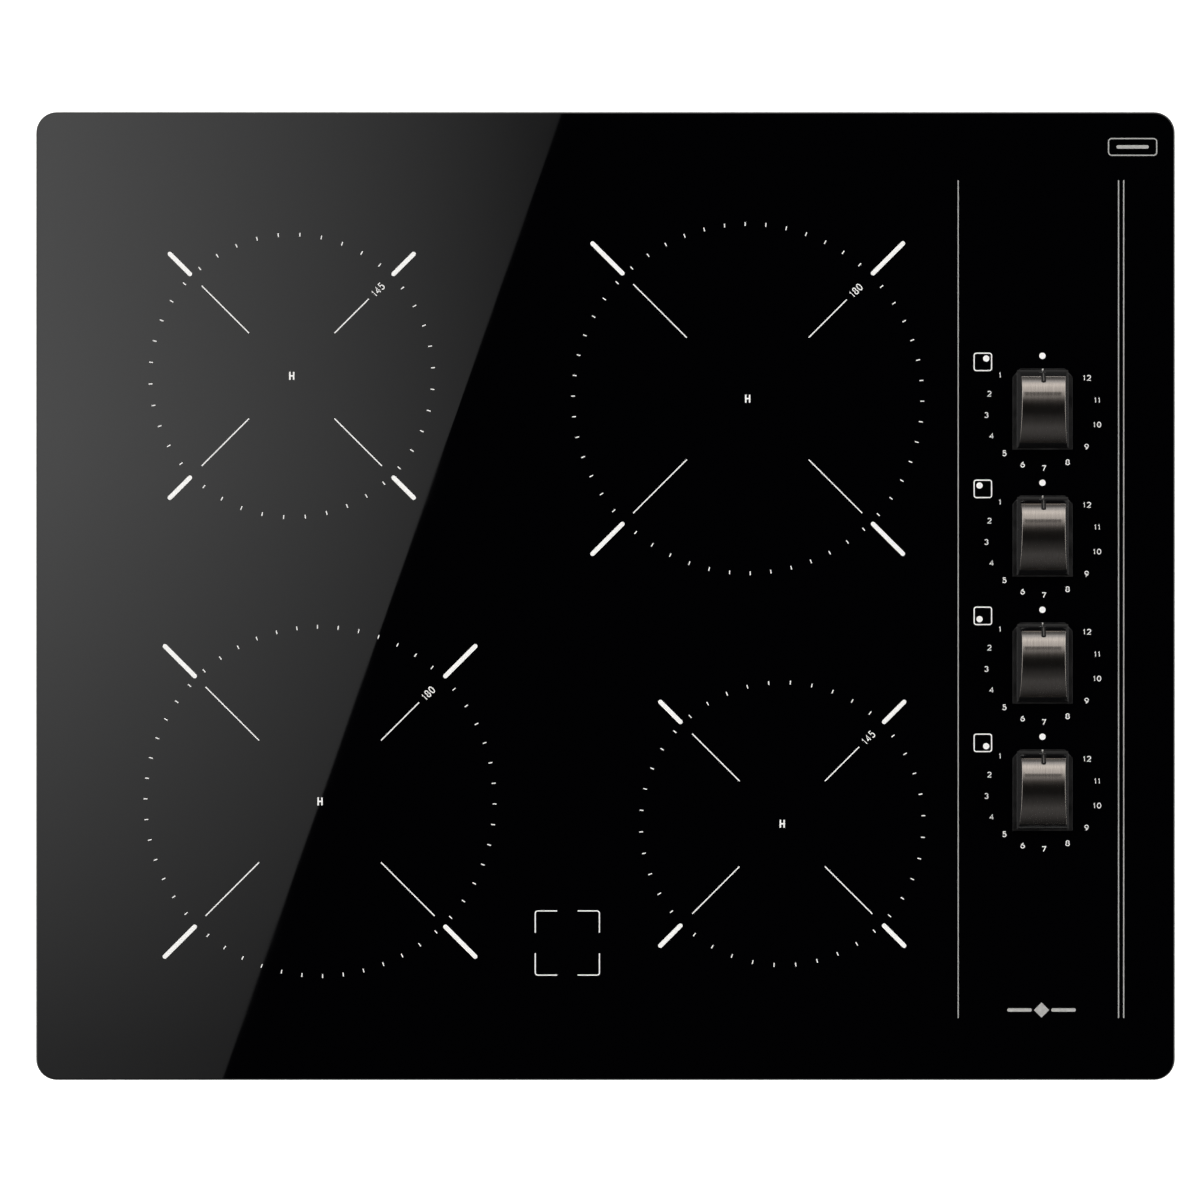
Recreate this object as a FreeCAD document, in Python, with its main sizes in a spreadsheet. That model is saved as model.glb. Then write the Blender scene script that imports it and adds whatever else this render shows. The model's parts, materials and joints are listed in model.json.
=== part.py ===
import FreeCAD, Part
import math
import os
import re
import Sketcher
from FreeCAD import Placement, Rotation, Vector

# Built-in electric cooktop, 600 mm wide: a glass plate that lies on the worktop, four cooking zones with
# their coils under it, and a strip of four rotary controls at the right.
# Frame: X to the right, Y to the back, Z up. The origin is the middle of the glass outline, in the plane
# of the worktop, which is the underside of the foam seal. Lengths are in millimetres.

# ---------------------------------------------------------------------------------------------------
# Driving sizes: alias, value, meaning
# ---------------------------------------------------------------------------------------------------
SIZES = [
    ("glass_width", 600, "glass, side to side"),
    ("glass_deep", 510, "glass, front to back"),
    ("glass_thick", 4, "glass thickness"),
    ("glass_corner", 11, "corner radius of the glass"),
    ("glass_top_edge", 1.2, "rounding of the upper edge"),
    ("glass_low_edge", 0.8, "rounding of the lower edge"),
    ("shaft_hole_radius", 6, "holes in the glass for the control shafts"),
    ("seal_thick", 2, "foam seal thickness"),
    ("seal_wide", 6, "foam seal strip width"),
    ("seal_inset", 4, "glass edge to seal"),
    ("rim_side", 25, "glass past the support frame at the left and right"),
    ("rim_front", 15, "glass past the support frame at the front and rear"),
    ("frame_sheet", 0.8, "support frame sheet"),
    ("frame_flange", 12, "support frame flange that the glass is glued to"),
    ("frame_leg", 15, "height of the frame legs"),
    ("frame_corner", 4, "outer corner radius of the frame"),
    ("bead_thick", 1, "silicone bead between frame and glass"),
    ("bead_wide", 9, "silicone bead width"),
    ("tray_gap", 0.2, "clearance between frame legs and tray walls"),
    ("tray_depth", 52, "worktop plane to the underside of the tray"),
    ("tray_top", 1, "worktop plane down to the rim of the tray"),
    ("tray_sheet", 0.8, "tray sheet"),
    ("tray_bend", 1.6, "outer bend radius along the tray floor"),
    ("rib_deep", 0.4, "depth of the pressed stiffening ribs in the tray floor"),
    ("rib_wide", 9, "rib width"),
    ("rib_pitch", 45, "rib spacing"),
    ("rib_count", 6, "number of ribs"),
    ("rib_side", 34, "left edge of the power board to the first rib"),
    ("rib_end_gap", 14, "power board's front and rear edges to the ribs"),
    ("overrun", 1, "how far a cut is carried past the sheet it goes through"),
    ("screw_radius", 1.8, "sheet screw shank radius"),
    ("screw_head_radius", 3.6, "sheet screw head radius"),
    ("screw_head_high", 2, "sheet screw head height"),
    ("screw_long", 6, "sheet screw length under the head"),
    ("screw_gap", 0.15, "clearance round a screw shank"),
    ("screw_drop", 8, "worktop plane down to the side screws"),
    ("front_screw_inset", 95, "frame corner to a side screw of the front or rear wall"),
    ("side_screw_inset", 90, "frame corner to a side screw of the left or right wall"),
    ("former_inset", 0.5, "pan mark to the outer edge of a coil former"),
    ("mica_past", 0.5, "mica sheet past the pan mark"),
    ("small_zone_radius", 74.5, "pan mark radius of a small zone"),
    ("large_zone_radius", 92, "pan mark radius of a large zone"),
    ("rear_left_side", 134.7, "zone centre to the left edge of the glass"),
    ("rear_left_end", 139, "zone centre to the rear edge of the glass"),
    ("rear_right_side", 225.1, "zone centre to the right edge of the glass"),
    ("rear_right_end", 151, "zone centre to the rear edge of the glass"),
    ("front_left_side", 149.6, "zone centre to the left edge of the glass"),
    ("front_left_end", 146.8, "zone centre to the front edge of the glass"),
    ("front_right_side", 206.9, "zone centre to the right edge of the glass"),
    ("front_right_end", 135, "zone centre to the front edge of the glass"),
    ("mica_thick", 0.5, "mica sheet between coil and glass"),
    ("litz_radius", 1.5, "stranded coil wire radius"),
    ("litz_gap", 0.3, "gap between turns"),
    ("coil_hole_radius", 20, "inner edge of a winding"),
    ("coil_rim", 3, "former past the last turn"),
    ("lead_radius", 1.5, "sleeved lead radius"),
    ("lead_hole_radius", 2.6, "holes for the coil leads"),
    ("lead_inset", 3, "winding's inner edge to the coil lead"),
    ("lead_level", -12, "height at which the leads cross the tray"),
    ("lead_root_inset", 85.8, "right edge of the power board to the feet of the coil leads"),
    ("mains_radius", 3.2, "sleeved mains lead radius"),
    ("mains_level", -27, "height at which the mains lead crosses the tray"),
    ("lead_end_gap", 0.2, "end of a coil lead to the top of its winding"),
    ("lead_lift", 6, "height of the control and fan leads above the power board"),
    ("lead_edge_inset", 3.75, "right edge of the power board to the foot of the control lead"),
    ("control_lead_inset", 6, "left edge of the control board to its lead"),
    ("foot_rear_left", 34, "rear edge of the power board to the foot of the rear left lead"),
    ("foot_rear_right", 72, "rear edge of the power board to the foot of the rear right lead"),
    ("foot_front_right", 90, "front edge of the power board to the foot of the front right lead"),
    ("foot_front_left", 50, "front edge of the power board to the foot of the front left lead"),
    ("rear_foot_inset", 7.5, "rear edge of the power board to the feet of the fan and mains leads"),
    ("fan_lead_side", 20, "fan's middle to its lead"),
    ("mains_fan_gap", 8, "fan housing to the bend of the mains lead"),
    ("mains_sink_shift", 12, "heat sink's middle to the foot of the mains lead"),
    ("former_thick", 2.5, "coil former floor"),
    ("former_wall", 1.5, "raised rim of a former"),
    ("former_hole_radius", 9, "hole in a former for the sensor"),
    ("window_count", 8, "air windows in a former, and ferrite bars below it"),
    ("window_wide", 6, "air window width"),
    ("ferrite_thick", 4, "ferrite bar height"),
    ("ferrite_wide", 10, "ferrite bar width"),
    ("carrier_thick", 1.5, "aluminium coil carrier"),
    ("carrier_margin", 9, "carrier past the coils"),
    ("carrier_lip", 3.5, "carrier past what it carries, at the gap between the two carriers"),
    ("carrier_front_gap", 34, "frame to the front edge of the carriers"),
    ("carrier_rear_gap", 40, "frame to the rear edge of the carriers"),
    ("carrier_corner", 6, "corner radius of the carriers"),
    ("sensor_radius", 4, "pan temperature sensor body radius"),
    ("sensor_foot_radius", 7, "pan temperature sensor foot radius"),
    ("sensor_gap", 0.1, "sensor tip to glass"),
    ("spring_radius", 6, "carrier spring, wire centre radius"),
    ("spring_wire", 0.6, "carrier spring wire radius"),
    ("spring_pitch", 8, "carrier spring pitch"),
    ("spring_inset", 13, "carrier edge to spring centre"),
    ("spring_box_gap", 5, "rear springs to the front of the terminal box"),
    ("spring_gap", 0.15, "spring end to its seat"),
    ("board_thick", 1.6, "circuit boards"),
    ("board_corner", 3, "corner radius of the circuit boards"),
    ("board_side_gap", 19.4, "left edge of the left carrier to the power board"),
    ("board_fan_gap", 5.8, "right edge of the power board to the fan's middle"),
    ("board_front_gap", 90, "frame to the front edge of the power board"),
    ("board_rear_gap", 24, "power board to the fan housing"),
    ("boss_high", 6, "pressed bosses under the power board"),
    ("boss_radius", 4.5, "boss radius"),
    ("boss_inset", 11, "board edge to boss centre"),
    ("capacitor_wide", 32, "film capacitor, side to side"),
    ("capacitor_deep", 18, "film capacitor, front to back"),
    ("capacitor_high", 26, "film capacitor height"),
    ("capacitor_side", 40, "power board's left edge to the first film capacitor's middle"),
    ("capacitor_front", 48, "power board's front edge to the first film capacitor's middle"),
    ("capacitor_column", 46, "film capacitor spacing, side to side"),
    ("capacitor_row", 56, "film capacitor spacing, front to back"),
    ("can_radius", 9, "electrolytic capacitor radius"),
    ("can_high", 29, "electrolytic capacitor height"),
    ("can_side", 138, "power board's left edge to the electrolytics"),
    ("can_front", 40, "power board's front edge to the first electrolytic"),
    ("can_row", 26, "electrolytic spacing"),
    ("relay_wide", 20, "relay, side to side"),
    ("relay_deep", 28, "relay, front to back"),
    ("relay_high", 16, "relay height"),
    ("relay_side", 176, "power board's left edge to the relays' middle"),
    ("relay_front", 46, "power board's front edge to the first relay's middle"),
    ("relay_row", 34, "relay spacing"),
    ("choke_ring", 15, "ring choke, centre radius"),
    ("choke_round", 6, "ring choke, section radius"),
    ("choke_side", 140, "power board's left edge to the chokes"),
    ("choke_front", 170, "power board's front edge to the first choke"),
    ("choke_row", 48, "ring choke spacing"),
    ("sink_inset", 36, "right edge of the power board to the heat sink's middle"),
    ("sink_wide", 58, "heat sink width"),
    ("sink_end_gap", 15, "power board's front and rear edges to the heat sink"),
    ("sink_base", 3.5, "heat sink base"),
    ("sink_high", 25, "heat sink height"),
    ("fin_thick", 1.4, "heat sink fin"),
    ("fin_count", 9, "heat sink fins"),
    ("fan_rear_gap", 24, "fan housing to the frame"),
    ("fan_size", 80, "fan housing side"),
    ("fan_high", 15, "fan housing height"),
    ("fan_duct_radius", 37.5, "fan duct"),
    ("fan_tip_gap", 1.2, "blade tip to duct"),
    ("fan_corner", 4, "corner radius of the fan housing"),
    ("fan_seat_thick", 1.9, "motor seat and arms of the fan housing"),
    ("fan_arm_wide", 3, "width of the four arms"),
    ("fan_arm_root", 1, "how far an arm runs into the duct wall and the seat"),
    ("fan_screw_inset", 5, "side of the fan housing to its corner holes"),
    ("fan_hub_radius", 16, "rotor hub"),
    ("fan_pin_radius", 1.5, "rotor pin"),
    ("fan_pin_high", 10.5, "rotor pin above the motor seat"),
    ("rotor_gap", 0.4, "motor seat to the rotor"),
    ("rotor_high", 11.7, "rotor hub height"),
    ("fan_blade_thick", 1.2, "half width of a blade's slanted section"),
    ("fan_blade_lean", 6.3, "half of a blade's lean over its height"),
    ("fan_blade_inset", 0.6, "top and foot of the hub to the blades"),
    ("fan_blades", 7, "number of blades"),
    ("running_gap", 0.05, "radial clearance of turning shafts"),
    ("vent_wide", 3, "air slot width"),
    ("vent_pitch", 7, "air slot pitch"),
    ("vent_count", 10, "air slots under the fan"),
    ("vent_end_gap", 7, "side of the fan housing to the ends of its air slots"),
    ("front_vent_high", 24, "air slot height in the front wall"),
    ("front_vent_pitch", 9, "air slot pitch in the front wall"),
    ("front_vent_count", 30, "air slots in the front wall"),
    ("side_vent_count", 12, "air slots in the left wall"),
    ("dial_side", 69.8, "line of the control shafts to the right edge of the glass"),
    ("dial_mid", -3.4, "middle of the four controls, front to back"),
    ("dial_pitch", 66.9, "control spacing"),
    ("bracket_drop", 12, "worktop plane down to the underside of the control bracket"),
    ("bracket_sheet", 1.2, "control bracket sheet"),
    ("bracket_wide", 60, "control bracket width"),
    ("bracket_gap", 4, "frame to the end of the control bracket"),
    ("pot_size", 24, "control potentiometer side"),
    ("pot_high", 10, "control potentiometer height"),
    ("pot_floor", 2, "potentiometer case below its bore"),
    ("pot_neck_radius", 4.5, "potentiometer neck"),
    ("pot_neck_high", 9, "potentiometer neck height"),
    ("neck_gap", 0.2, "neck to bracket hole"),
    ("control_board_wide", 48, "control board width"),
    ("control_board_end", 27.65, "end of the control board past the outer shafts"),
    ("shaft_radius", 3, "control shaft"),
    ("shaft_end_high", 15, "top of the shaft above the glass"),
    ("shaft_flat", 1.5, "shaft centre to its flat"),
    ("shaft_flat_start", 0.3, "glass top to the start of the flat"),
    ("shaft_seal_radius", 8.5, "rubber shaft seal"),
    ("shaft_seal_gap", 0.35, "rubber shaft seal to the shaft"),
    ("lip_gap", 0.3, "seal lip to the glass hole"),
    ("knob_gap", 0.6, "knob to glass"),
    ("knob_half_wide", 15.7, "half width of the knob's plinth"),
    ("knob_front", 19.9, "plinth, shaft to its blunt end"),
    ("knob_nose", 22.9, "plinth, shaft to its pointer end"),
    ("knob_cut_wide", 4, "cut corner at the pointer end, across"),
    ("knob_cut_long", 4.5, "cut corner at the pointer end, along"),
    ("plinth_high", 2.2, "plinth thickness"),
    ("plinth_round", 0.55, "rounding of the plinth's upper edge"),
    ("grip_half_wide", 13.6, "half width of the grip at its foot"),
    ("grip_front", 19.2, "grip foot, shaft to its blunt end"),
    ("grip_nose", 22.2, "grip foot, shaft to its pointer end"),
    ("grip_taper", 6.5, "slope of the grip flanks in degrees"),
    ("crest_y", 10, "shaft to the crest of the grip"),
    ("crest_high", 22, "crest above the glass"),
    ("back_radius", 40, "radius of the long side of the arch"),
    ("nose_radius", 11.5, "radius of the arch at the pointer end"),
    ("arch_past", 5.55, "how far the arch is drawn past the blunt end, where it only cuts air"),
    ("nose_angle", 25, "angle at which the arch runs out into the pointer end, in degrees"),
    ("face_thick", 0.8, "metal face of the knob"),
    ("pointer_wide", 2, "pointer inlay width"),
    ("pointer_long", 5.4, "pointer inlay length"),
    ("pointer_start", 15.4, "shaft to the pointer's inner end"),
    ("pointer_gap", 0.15, "clearance round the pointer inlay"),
    ("knob_wall", 1.8, "wall of the hollow knob"),
    ("knob_hollow", 6.5, "depth of the hollow above the plinth's underside"),
    ("hub_radius", 5.2, "knob hub"),
    ("bore_gap", 0.05, "knob bore to shaft"),
    ("clip_thick", 0.4, "steel spring clip in the knob's bore"),
    ("clip_wide", 4, "spring clip width"),
    ("clip_long", 9, "spring clip length"),
    ("clip_inset", 1, "end of the shaft to the spring clip"),
    ("lamp_side", 320.1, "middle of the indicator window to the right edge of the glass"),
    ("lamp_end", 72.2, "middle of the indicator window to the front edge of the glass"),
    ("lamp_board_size", 34, "indicator board side"),
    ("lamp_board_drop", 3.6, "worktop plane down to the indicator board's underside"),
    ("lamp_radius", 2.5, "indicator lamp"),
    ("lamp_pitch", 16, "indicator lamp spacing"),
    ("lamp_gap", 0.3, "lamp to glass"),
    ("post_radius", 2.2, "indicator board post"),
    ("terminal_side", 51, "terminal box centre to the frame"),
    ("terminal_wide", 88, "terminal box, side to side"),
    ("terminal_long", 56, "terminal box, front to back"),
    ("terminal_wall", 2, "terminal box wall"),
    ("terminal_high", 34, "terminal box height"),
    ("terminal_back_gap", 0.3, "terminal box to the rear wall"),
    ("cover_thick", 2, "terminal cover"),
    ("cover_gap", 0.4, "clearance round the terminal cover"),
    ("hinge_gap", 1.2, "edge of the door opening to the barrel, room for the cover to swing"),
    ("finger_wide", 16, "finger recess in the terminal cover, side to side"),
    ("finger_long", 3, "finger recess, front to back"),
    ("finger_inset", 4, "rear edge of the cover to the finger recess"),
    ("finger_deep", 1, "finger recess depth"),
    ("cover_recess", 0.4, "terminal cover above the tray's underside"),
    ("hinge_radius", 2, "terminal cover barrel"),
    ("hinge_pin_radius", 1, "terminal cover pins"),
    ("hinge_pin_long", 5, "terminal cover pins"),
    ("block_wide", 62, "terminal block, side to side"),
    ("block_long", 20, "terminal block, front to back"),
    ("block_high", 15, "terminal block height"),
    ("block_shift", 1.9, "terminal box centre to the terminal block's"),
    ("block_ways", 5, "terminal block ways"),
    ("block_screw_radius", 2.2, "terminal screw"),
    ("block_screw_deep", 3, "terminal screw below the block's face"),
    ("block_screw_shift", 4, "middle of the block to its screws"),
    ("way_radius", 3.3, "conductor way in the terminal block"),
    ("way_deep", 12, "depth of a conductor way"),
    ("inlet_radius", 6, "cable inlet bore"),
    ("inlet_wall", 2, "cable inlet bush wall"),
    ("inlet_flange", 2, "cable inlet bush flange"),
    ("inlet_z", -39, "cable inlet centre"),
    ("inlet_gap", 0.1, "clearance round the bush in its holes"),
    ("spring_clip_wide", 16, "fixing spring width"),
    ("spring_clip_thick", 0.8, "fixing spring sheet"),
    ("spring_clip_inset", 50, "frame corner to a fixing spring"),
    ("spring_clip_top", 14, "worktop plane down to the fixing springs"),
    ("spring_clip_high", 30, "fixing spring height"),
    ("spring_clip_reach", 3.2, "fixing spring past the tray wall"),
    ("spring_clip_bend", 6, "top of a fixing spring to its first bend"),
    ("spring_clip_slant", 0.96, "fixing spring sheet measured across its slanted part"),
]

doc = FreeCAD.newDocument("electric_cooktop")
sheet = doc.addObject("Spreadsheet::Sheet", "Sizes")
for row, (alias, size, meaning) in enumerate(SIZES, start=1):
    sheet.set(f"A{row}", meaning)
    sheet.set(f"B{row}", str(size))
    sheet.setAlias(f"B{row}", alias)
doc.recompute()

# Places and levels that several pieces share, worked out from the driving sizes and from each other.
PLACES = {
    "frame_width": "glass_width-2*rim_side",
    "frame_deep": "glass_deep-2*rim_front",
    "tray_width": "frame_width+2*tray_gap+2*tray_sheet",
    "tray_deep": "frame_deep+2*tray_gap+2*tray_sheet",
    "tray_floor": "tray_sheet-tray_depth",
    "glass_under": "seal_thick",
    "glass_top": "seal_thick+glass_thick",
    "flange_top": "seal_thick-bead_thick",
    "flange_under": "flange_top-frame_sheet",
    "rear_left_x": "rear_left_side-glass_width/2",
    "rear_left_y": "glass_deep/2-rear_left_end",
    "rear_right_x": "glass_width/2-rear_right_side",
    "rear_right_y": "glass_deep/2-rear_right_end",
    "front_left_x": "front_left_side-glass_width/2",
    "front_left_y": "front_left_end-glass_deep/2",
    "front_right_x": "glass_width/2-front_right_side",
    "front_right_y": "front_right_end-glass_deep/2",
    "dial_x": "glass_width/2-dial_side",
    "lamp_x": "glass_width/2-lamp_side",
    "lamp_y": "lamp_end-glass_deep/2",
    "coil_top": "glass_under-mica_thick",
    "former_top": "coil_top-2*litz_radius",
    "ferrite_top": "former_top-former_thick",
    "carrier_top": "ferrite_top-ferrite_thick",
    "carrier_under": "carrier_top-carrier_thick",
    "left_carrier_left": "front_left_x-large_zone_radius-carrier_margin",
    "left_carrier_right": "front_left_x+large_zone_radius+carrier_lip",
    "right_carrier_left": "lamp_x-lamp_board_size/2-carrier_lip",
    "right_carrier_right": "rear_right_x+large_zone_radius+carrier_margin",
    "carrier_front": "carrier_front_gap-frame_deep/2",
    "carrier_rear": "frame_deep/2-carrier_rear_gap",
    "fan_x": "(right_carrier_left+right_carrier_right)/2",
    "fan_y": "frame_deep/2-fan_rear_gap-fan_size/2",
    "board_left": "left_carrier_left+board_side_gap",
    "board_right": "fan_x-board_fan_gap",
    "board_front": "board_front_gap-frame_deep/2",
    "board_rear": "fan_y-fan_size/2-board_rear_gap",
    "board_under": "tray_floor+boss_high",
    "board_top": "board_under+board_thick",
    "sink_x": "board_right-sink_inset",
    "lead_root_x": "board_right-lead_root_inset",
    "neck_top": "pot_neck_high-bracket_drop",
    "pot_under": "0-bracket_drop-pot_high",
    "knob_under": "glass_top+knob_gap",
    "plinth_top": "knob_under+plinth_high",
    "grip_foot": "knob_under+plinth_high/2",
    "terminal_x": "frame_width/2-terminal_side",
    "terminal_rear": "tray_deep/2-tray_sheet-terminal_back_gap",
    "terminal_y": "terminal_rear-terminal_long/2",
    "terminal_top": "tray_floor+terminal_high",
    "door_wide": "terminal_wide-2*terminal_wall",
    "door_long": "terminal_long-2*terminal_wall",
    "block_y": "terminal_y-block_shift",
    "spring_rear_y": "terminal_y-terminal_long/2-spring_box_gap-spring_radius-spring_wire",
    "hinge_y": "terminal_y-door_long/2+hinge_gap+hinge_radius",
    "hinge_z": "cover_recess+hinge_radius-tray_depth",
}

ZONES = {"rear_left": "small_zone", "rear_right": "large_zone",
         "front_left": "large_zone", "front_right": "small_zone"}
CONTROLS = {"1": "1.5", "2": "0.5", "3": "-0.5", "4": "-1.5"}
ALIASES = {alias for alias, size, meaning in SIZES}


# ---------------------------------------------------------------------------------------------------
# Helpers
# ---------------------------------------------------------------------------------------------------
def formula(text):
    """The text with each place worked out and each alias pointed at the spreadsheet."""
    def spelled_out(word):
        if word[0] in PLACES:
            return f"({formula(PLACES[word[0]])})"
        return f"Sizes.{word[0]}" if word[0] in ALIASES else word[0]
    return re.sub(r"[a-z][a-z0-9_]*", spelled_out, text)


def bind(thing, target, text):
    """Ties one property of an object to a formula of the driving sizes."""
    thing.setExpression(target, formula(text))


def value(text):
    """The number that a formula gives now."""
    found = sheet.evalExpression(formula(text))
    return float(getattr(found, "Value", found))


def move(thing, x="0", y="0", z="0"):
    """Ties an object's place to formulas."""
    for axis, text in zip("xyz", (x, y, z)):
        bind(thing, f"Placement.Base.{axis}", text)


def new_body(label):
    """An empty body for a sub-part."""
    body = doc.addObject("PartDesign::Body", label)
    body.Label = label
    return body


def new_sketch(body, role="XY_Plane", offset="0"):
    """An empty sketch on one of the body's origin planes, moved along that plane's normal."""
    plane = next(item for item in body.Origin.OriginFeatures if item.Role == role)
    sketch = body.newObject("Sketcher::SketchObject", f"{body.Label}_sketch")
    sketch.AttachmentSupport = [(plane, "")]
    sketch.MapMode = "FlatFace"
    bind(sketch, "AttachmentOffset.Base.z", offset)
    return sketch


def pin_point(sketch, shape, point, x="", y=""):
    """Ties one point of a sketch's shape to formulas for its distances from the origin, one or both."""
    for kind, text in (("DistanceX", x), ("DistanceY", y)):
        if text:
            index = sketch.addConstraint(Sketcher.Constraint(kind, -1, 1, shape, point, value(text)))
            bind(sketch, f"Constraints[{index}]", text)


def polygon(sketch, corners):
    """A closed outline of straight lines through the corners, each a pair of formulas."""
    points = [Vector(value(x), value(y), 0) for x, y in corners]
    first = sketch.GeometryCount
    count = len(points)
    for index, point in enumerate(points):
        sketch.addGeometry(Part.LineSegment(point, points[(index + 1) % count]))
    for index in range(count):
        after = first + (index + 1) % count
        sketch.addConstraint(Sketcher.Constraint("Coincident", first + index, 2, after, 1))
    for index, (x, y) in enumerate(corners):
        pin_point(sketch, first + index, 1, x, y)
    return sketch


def rectangle(sketch, x, y, wide, deep):
    """A rectangle with its middle at x, y."""
    left, right = f"({x})-({wide})/2", f"({x})+({wide})/2"
    low, high = f"({y})-({deep})/2", f"({y})+({deep})/2"
    return polygon(sketch, [(left, low), (right, low), (right, high), (left, high)])


def circle(sketch, x, y, radius):
    """A circle with its centre at x, y."""
    centre = Vector(value(x), value(y), 0)
    index = sketch.addGeometry(Part.Circle(centre, Vector(0, 0, 1), value(radius)))
    pin_point(sketch, index, 3, x, y)
    size = sketch.addConstraint(Sketcher.Constraint("Radius", index, value(radius)))
    bind(sketch, f"Constraints[{size}]", radius)
    return sketch


def slot(sketch, x, y, long, wide):
    """A slot along the sketch's vertical axis with round ends, its middle at x, y."""
    half, run = f"({wide})/2", f"(({long})-({wide}))/2"
    left, right = f"({x})-{half}", f"({x})+{half}"
    low, high = f"({y})-{run}", f"({y})+{run}"
    radius, middle = value(half), value(x)
    up = Part.Circle(Vector(middle, value(high), 0), Vector(0, 0, 1), radius)
    down = Part.Circle(Vector(middle, value(low), 0), Vector(0, 0, 1), radius)
    first = sketch.GeometryCount
    corners = [Vector(value(across), value(along), 0) for across in (left, right) for along in (low, high)]
    left_low, left_high, right_low, right_high = corners
    sketch.addGeometry(Part.LineSegment(right_low, right_high))
    sketch.addGeometry(Part.ArcOfCircle(up, 0, math.pi))
    sketch.addGeometry(Part.LineSegment(left_high, left_low))
    sketch.addGeometry(Part.ArcOfCircle(down, math.pi, 2 * math.pi))
    for index in range(4):
        after = first + (index + 1) % 4
        sketch.addConstraint(Sketcher.Constraint("Coincident", first + index, 2, after, 1))
    pin_point(sketch, first, 1, right, low)
    pin_point(sketch, first, 2, right, high)
    pin_point(sketch, first + 2, 1, left, high)
    pin_point(sketch, first + 2, 2, left, low)
    for arc, level in ((first + 1, high), (first + 3, low)):
        index = sketch.addConstraint(Sketcher.Constraint("DistanceY", -1, 1, arc, 3, value(level)))
        bind(sketch, f"Constraints[{index}]", level)
    return sketch


def pad(body, sketch, length, taper="0", both=False):
    """Material added from a sketch, along its normal or to both sides of it."""
    feature = body.newObject("PartDesign::Pad", f"{body.Label}_pad")
    feature.Profile = sketch
    feature.Midplane = both
    bind(feature, "Length", length)
    bind(feature, "TaperAngle", f"0-({taper})")
    doc.recompute()
    return feature


def cut(body, sketch, depth="", flip=False, both=False):
    """Material taken away from a sketch against its normal, through all where no depth is given."""
    before = body.Shape.Volume
    feature = body.newObject("PartDesign::Pocket", f"{body.Label}_cut")
    feature.Profile = sketch
    feature.Reversed = flip
    feature.Midplane = both
    if depth:
        bind(feature, "Length", depth)
    else:
        feature.Type = "ThroughAll"
    doc.recompute()
    if body.Shape.Volume > before - 0.001:
        raise ValueError(f"{body.Label}: {feature.Name} takes nothing away")
    return feature


def row_of(body, feature, sketch, axis, pitch, count):
    """A straight row of copies of a feature, along an axis of its sketch."""
    pattern = body.newObject("PartDesign::LinearPattern", f"{body.Label}_row")
    pattern.Originals = [feature]
    pattern.Direction = (sketch, [axis])
    bind(pattern, "Length", f"({pitch})*(({count})-1)")
    bind(pattern, "Occurrences", count)
    body.Tip = pattern
    doc.recompute()
    return pattern


def ring_of(body, feature, sketch, count):
    """Copies of a feature, evenly round its sketch's normal."""
    pattern = body.newObject("PartDesign::PolarPattern", f"{body.Label}_ring")
    pattern.Originals = [feature]
    pattern.Axis = (sketch, ["N_Axis"])
    pattern.Angle = 360
    bind(pattern, "Occurrences", count)
    body.Tip = pattern
    doc.recompute()
    return pattern


def round_edges(body, radius, chosen, kind="Fillet"):
    """A fillet or chamfer on each edge of the body that the test chooses."""
    tip = body.Tip
    names = [f"Edge{index}" for index, edge in enumerate(tip.Shape.Edges, start=1) if chosen(edge)]
    if not names:
        raise ValueError(f"{body.Label}: no edge to round")
    feature = body.newObject(f"PartDesign::{kind}", f"{body.Label}_round")
    feature.Base = (tip, names)
    bind(feature, "Size" if kind == "Chamfer" else "Radius", radius)
    doc.recompute()
    return feature


def upright(edge):
    """True for a straight edge along Z."""
    box = edge.BoundBox
    return box.ZLength > 0.5 and max(box.XLength, box.YLength) < 1e-6


def level_at(text):
    """A test for edges that lie flat at a height."""
    height = value(text)
    return lambda edge: abs(edge.BoundBox.ZMin - height) < 1e-5 and abs(edge.BoundBox.ZMax - height) < 1e-5


def box(name, x, y, z, wide, deep, high):
    """A Part box with its middle at x, y and its underside at z."""
    piece = doc.addObject("Part::Box", name)
    bind(piece, "Length", wide)
    bind(piece, "Width", deep)
    bind(piece, "Height", high)
    move(piece, f"({x})-({wide})/2", f"({y})-({deep})/2", z)
    return piece


def cylinder(name, x, y, z, radius, high):
    """A Part cylinder that stands at x, y on z."""
    piece = doc.addObject("Part::Cylinder", name)
    bind(piece, "Radius", radius)
    bind(piece, "Height", high)
    move(piece, x, y, z)
    return piece


def group(label, pieces):
    """Separate solids that share one node."""
    whole = doc.addObject("Part::Compound", label)
    whole.Label = label
    whole.Links = pieces
    doc.recompute()
    return whole


# ---------------------------------------------------------------------------------------------------
# Glass, seal and frame
# ---------------------------------------------------------------------------------------------------
def dial_y(place):
    """The front-to-back place of one control, as a formula."""
    return f"(dial_mid+dial_pitch*({place}))"


def glass_plate():
    """The cooking surface: one plate of glass ceramic with four holes for the control shafts."""
    body = new_body("glass_plate")
    outline = rectangle(new_sketch(body, offset="glass_under"), "0", "0", "glass_width", "glass_deep")
    pad(body, outline, "glass_thick")
    round_edges(body, "glass_corner", upright)
    round_edges(body, "glass_top_edge", level_at("glass_top"))
    round_edges(body, "glass_low_edge", level_at("glass_under"))
    holes = new_sketch(body, offset="glass_top")
    for place in CONTROLS.values():
        circle(holes, "dial_x", dial_y(place), "shaft_hole_radius")
    cut(body, holes)


def ring(label, bottom, high, wide, deep, strip, corner):
    """A flat frame-shaped ring: outer size, strip width and outer corner radius."""
    body = new_body(label)
    pad(body, rectangle(new_sketch(body, offset=bottom), "0", "0", wide, deep), high)
    round_edges(body, corner, upright)
    window = new_sketch(body, offset=f"{bottom}+{high}")
    cut(body, rectangle(window, "0", "0", f"{wide}-2*{strip}", f"{deep}-2*{strip}"))
    return body


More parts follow.
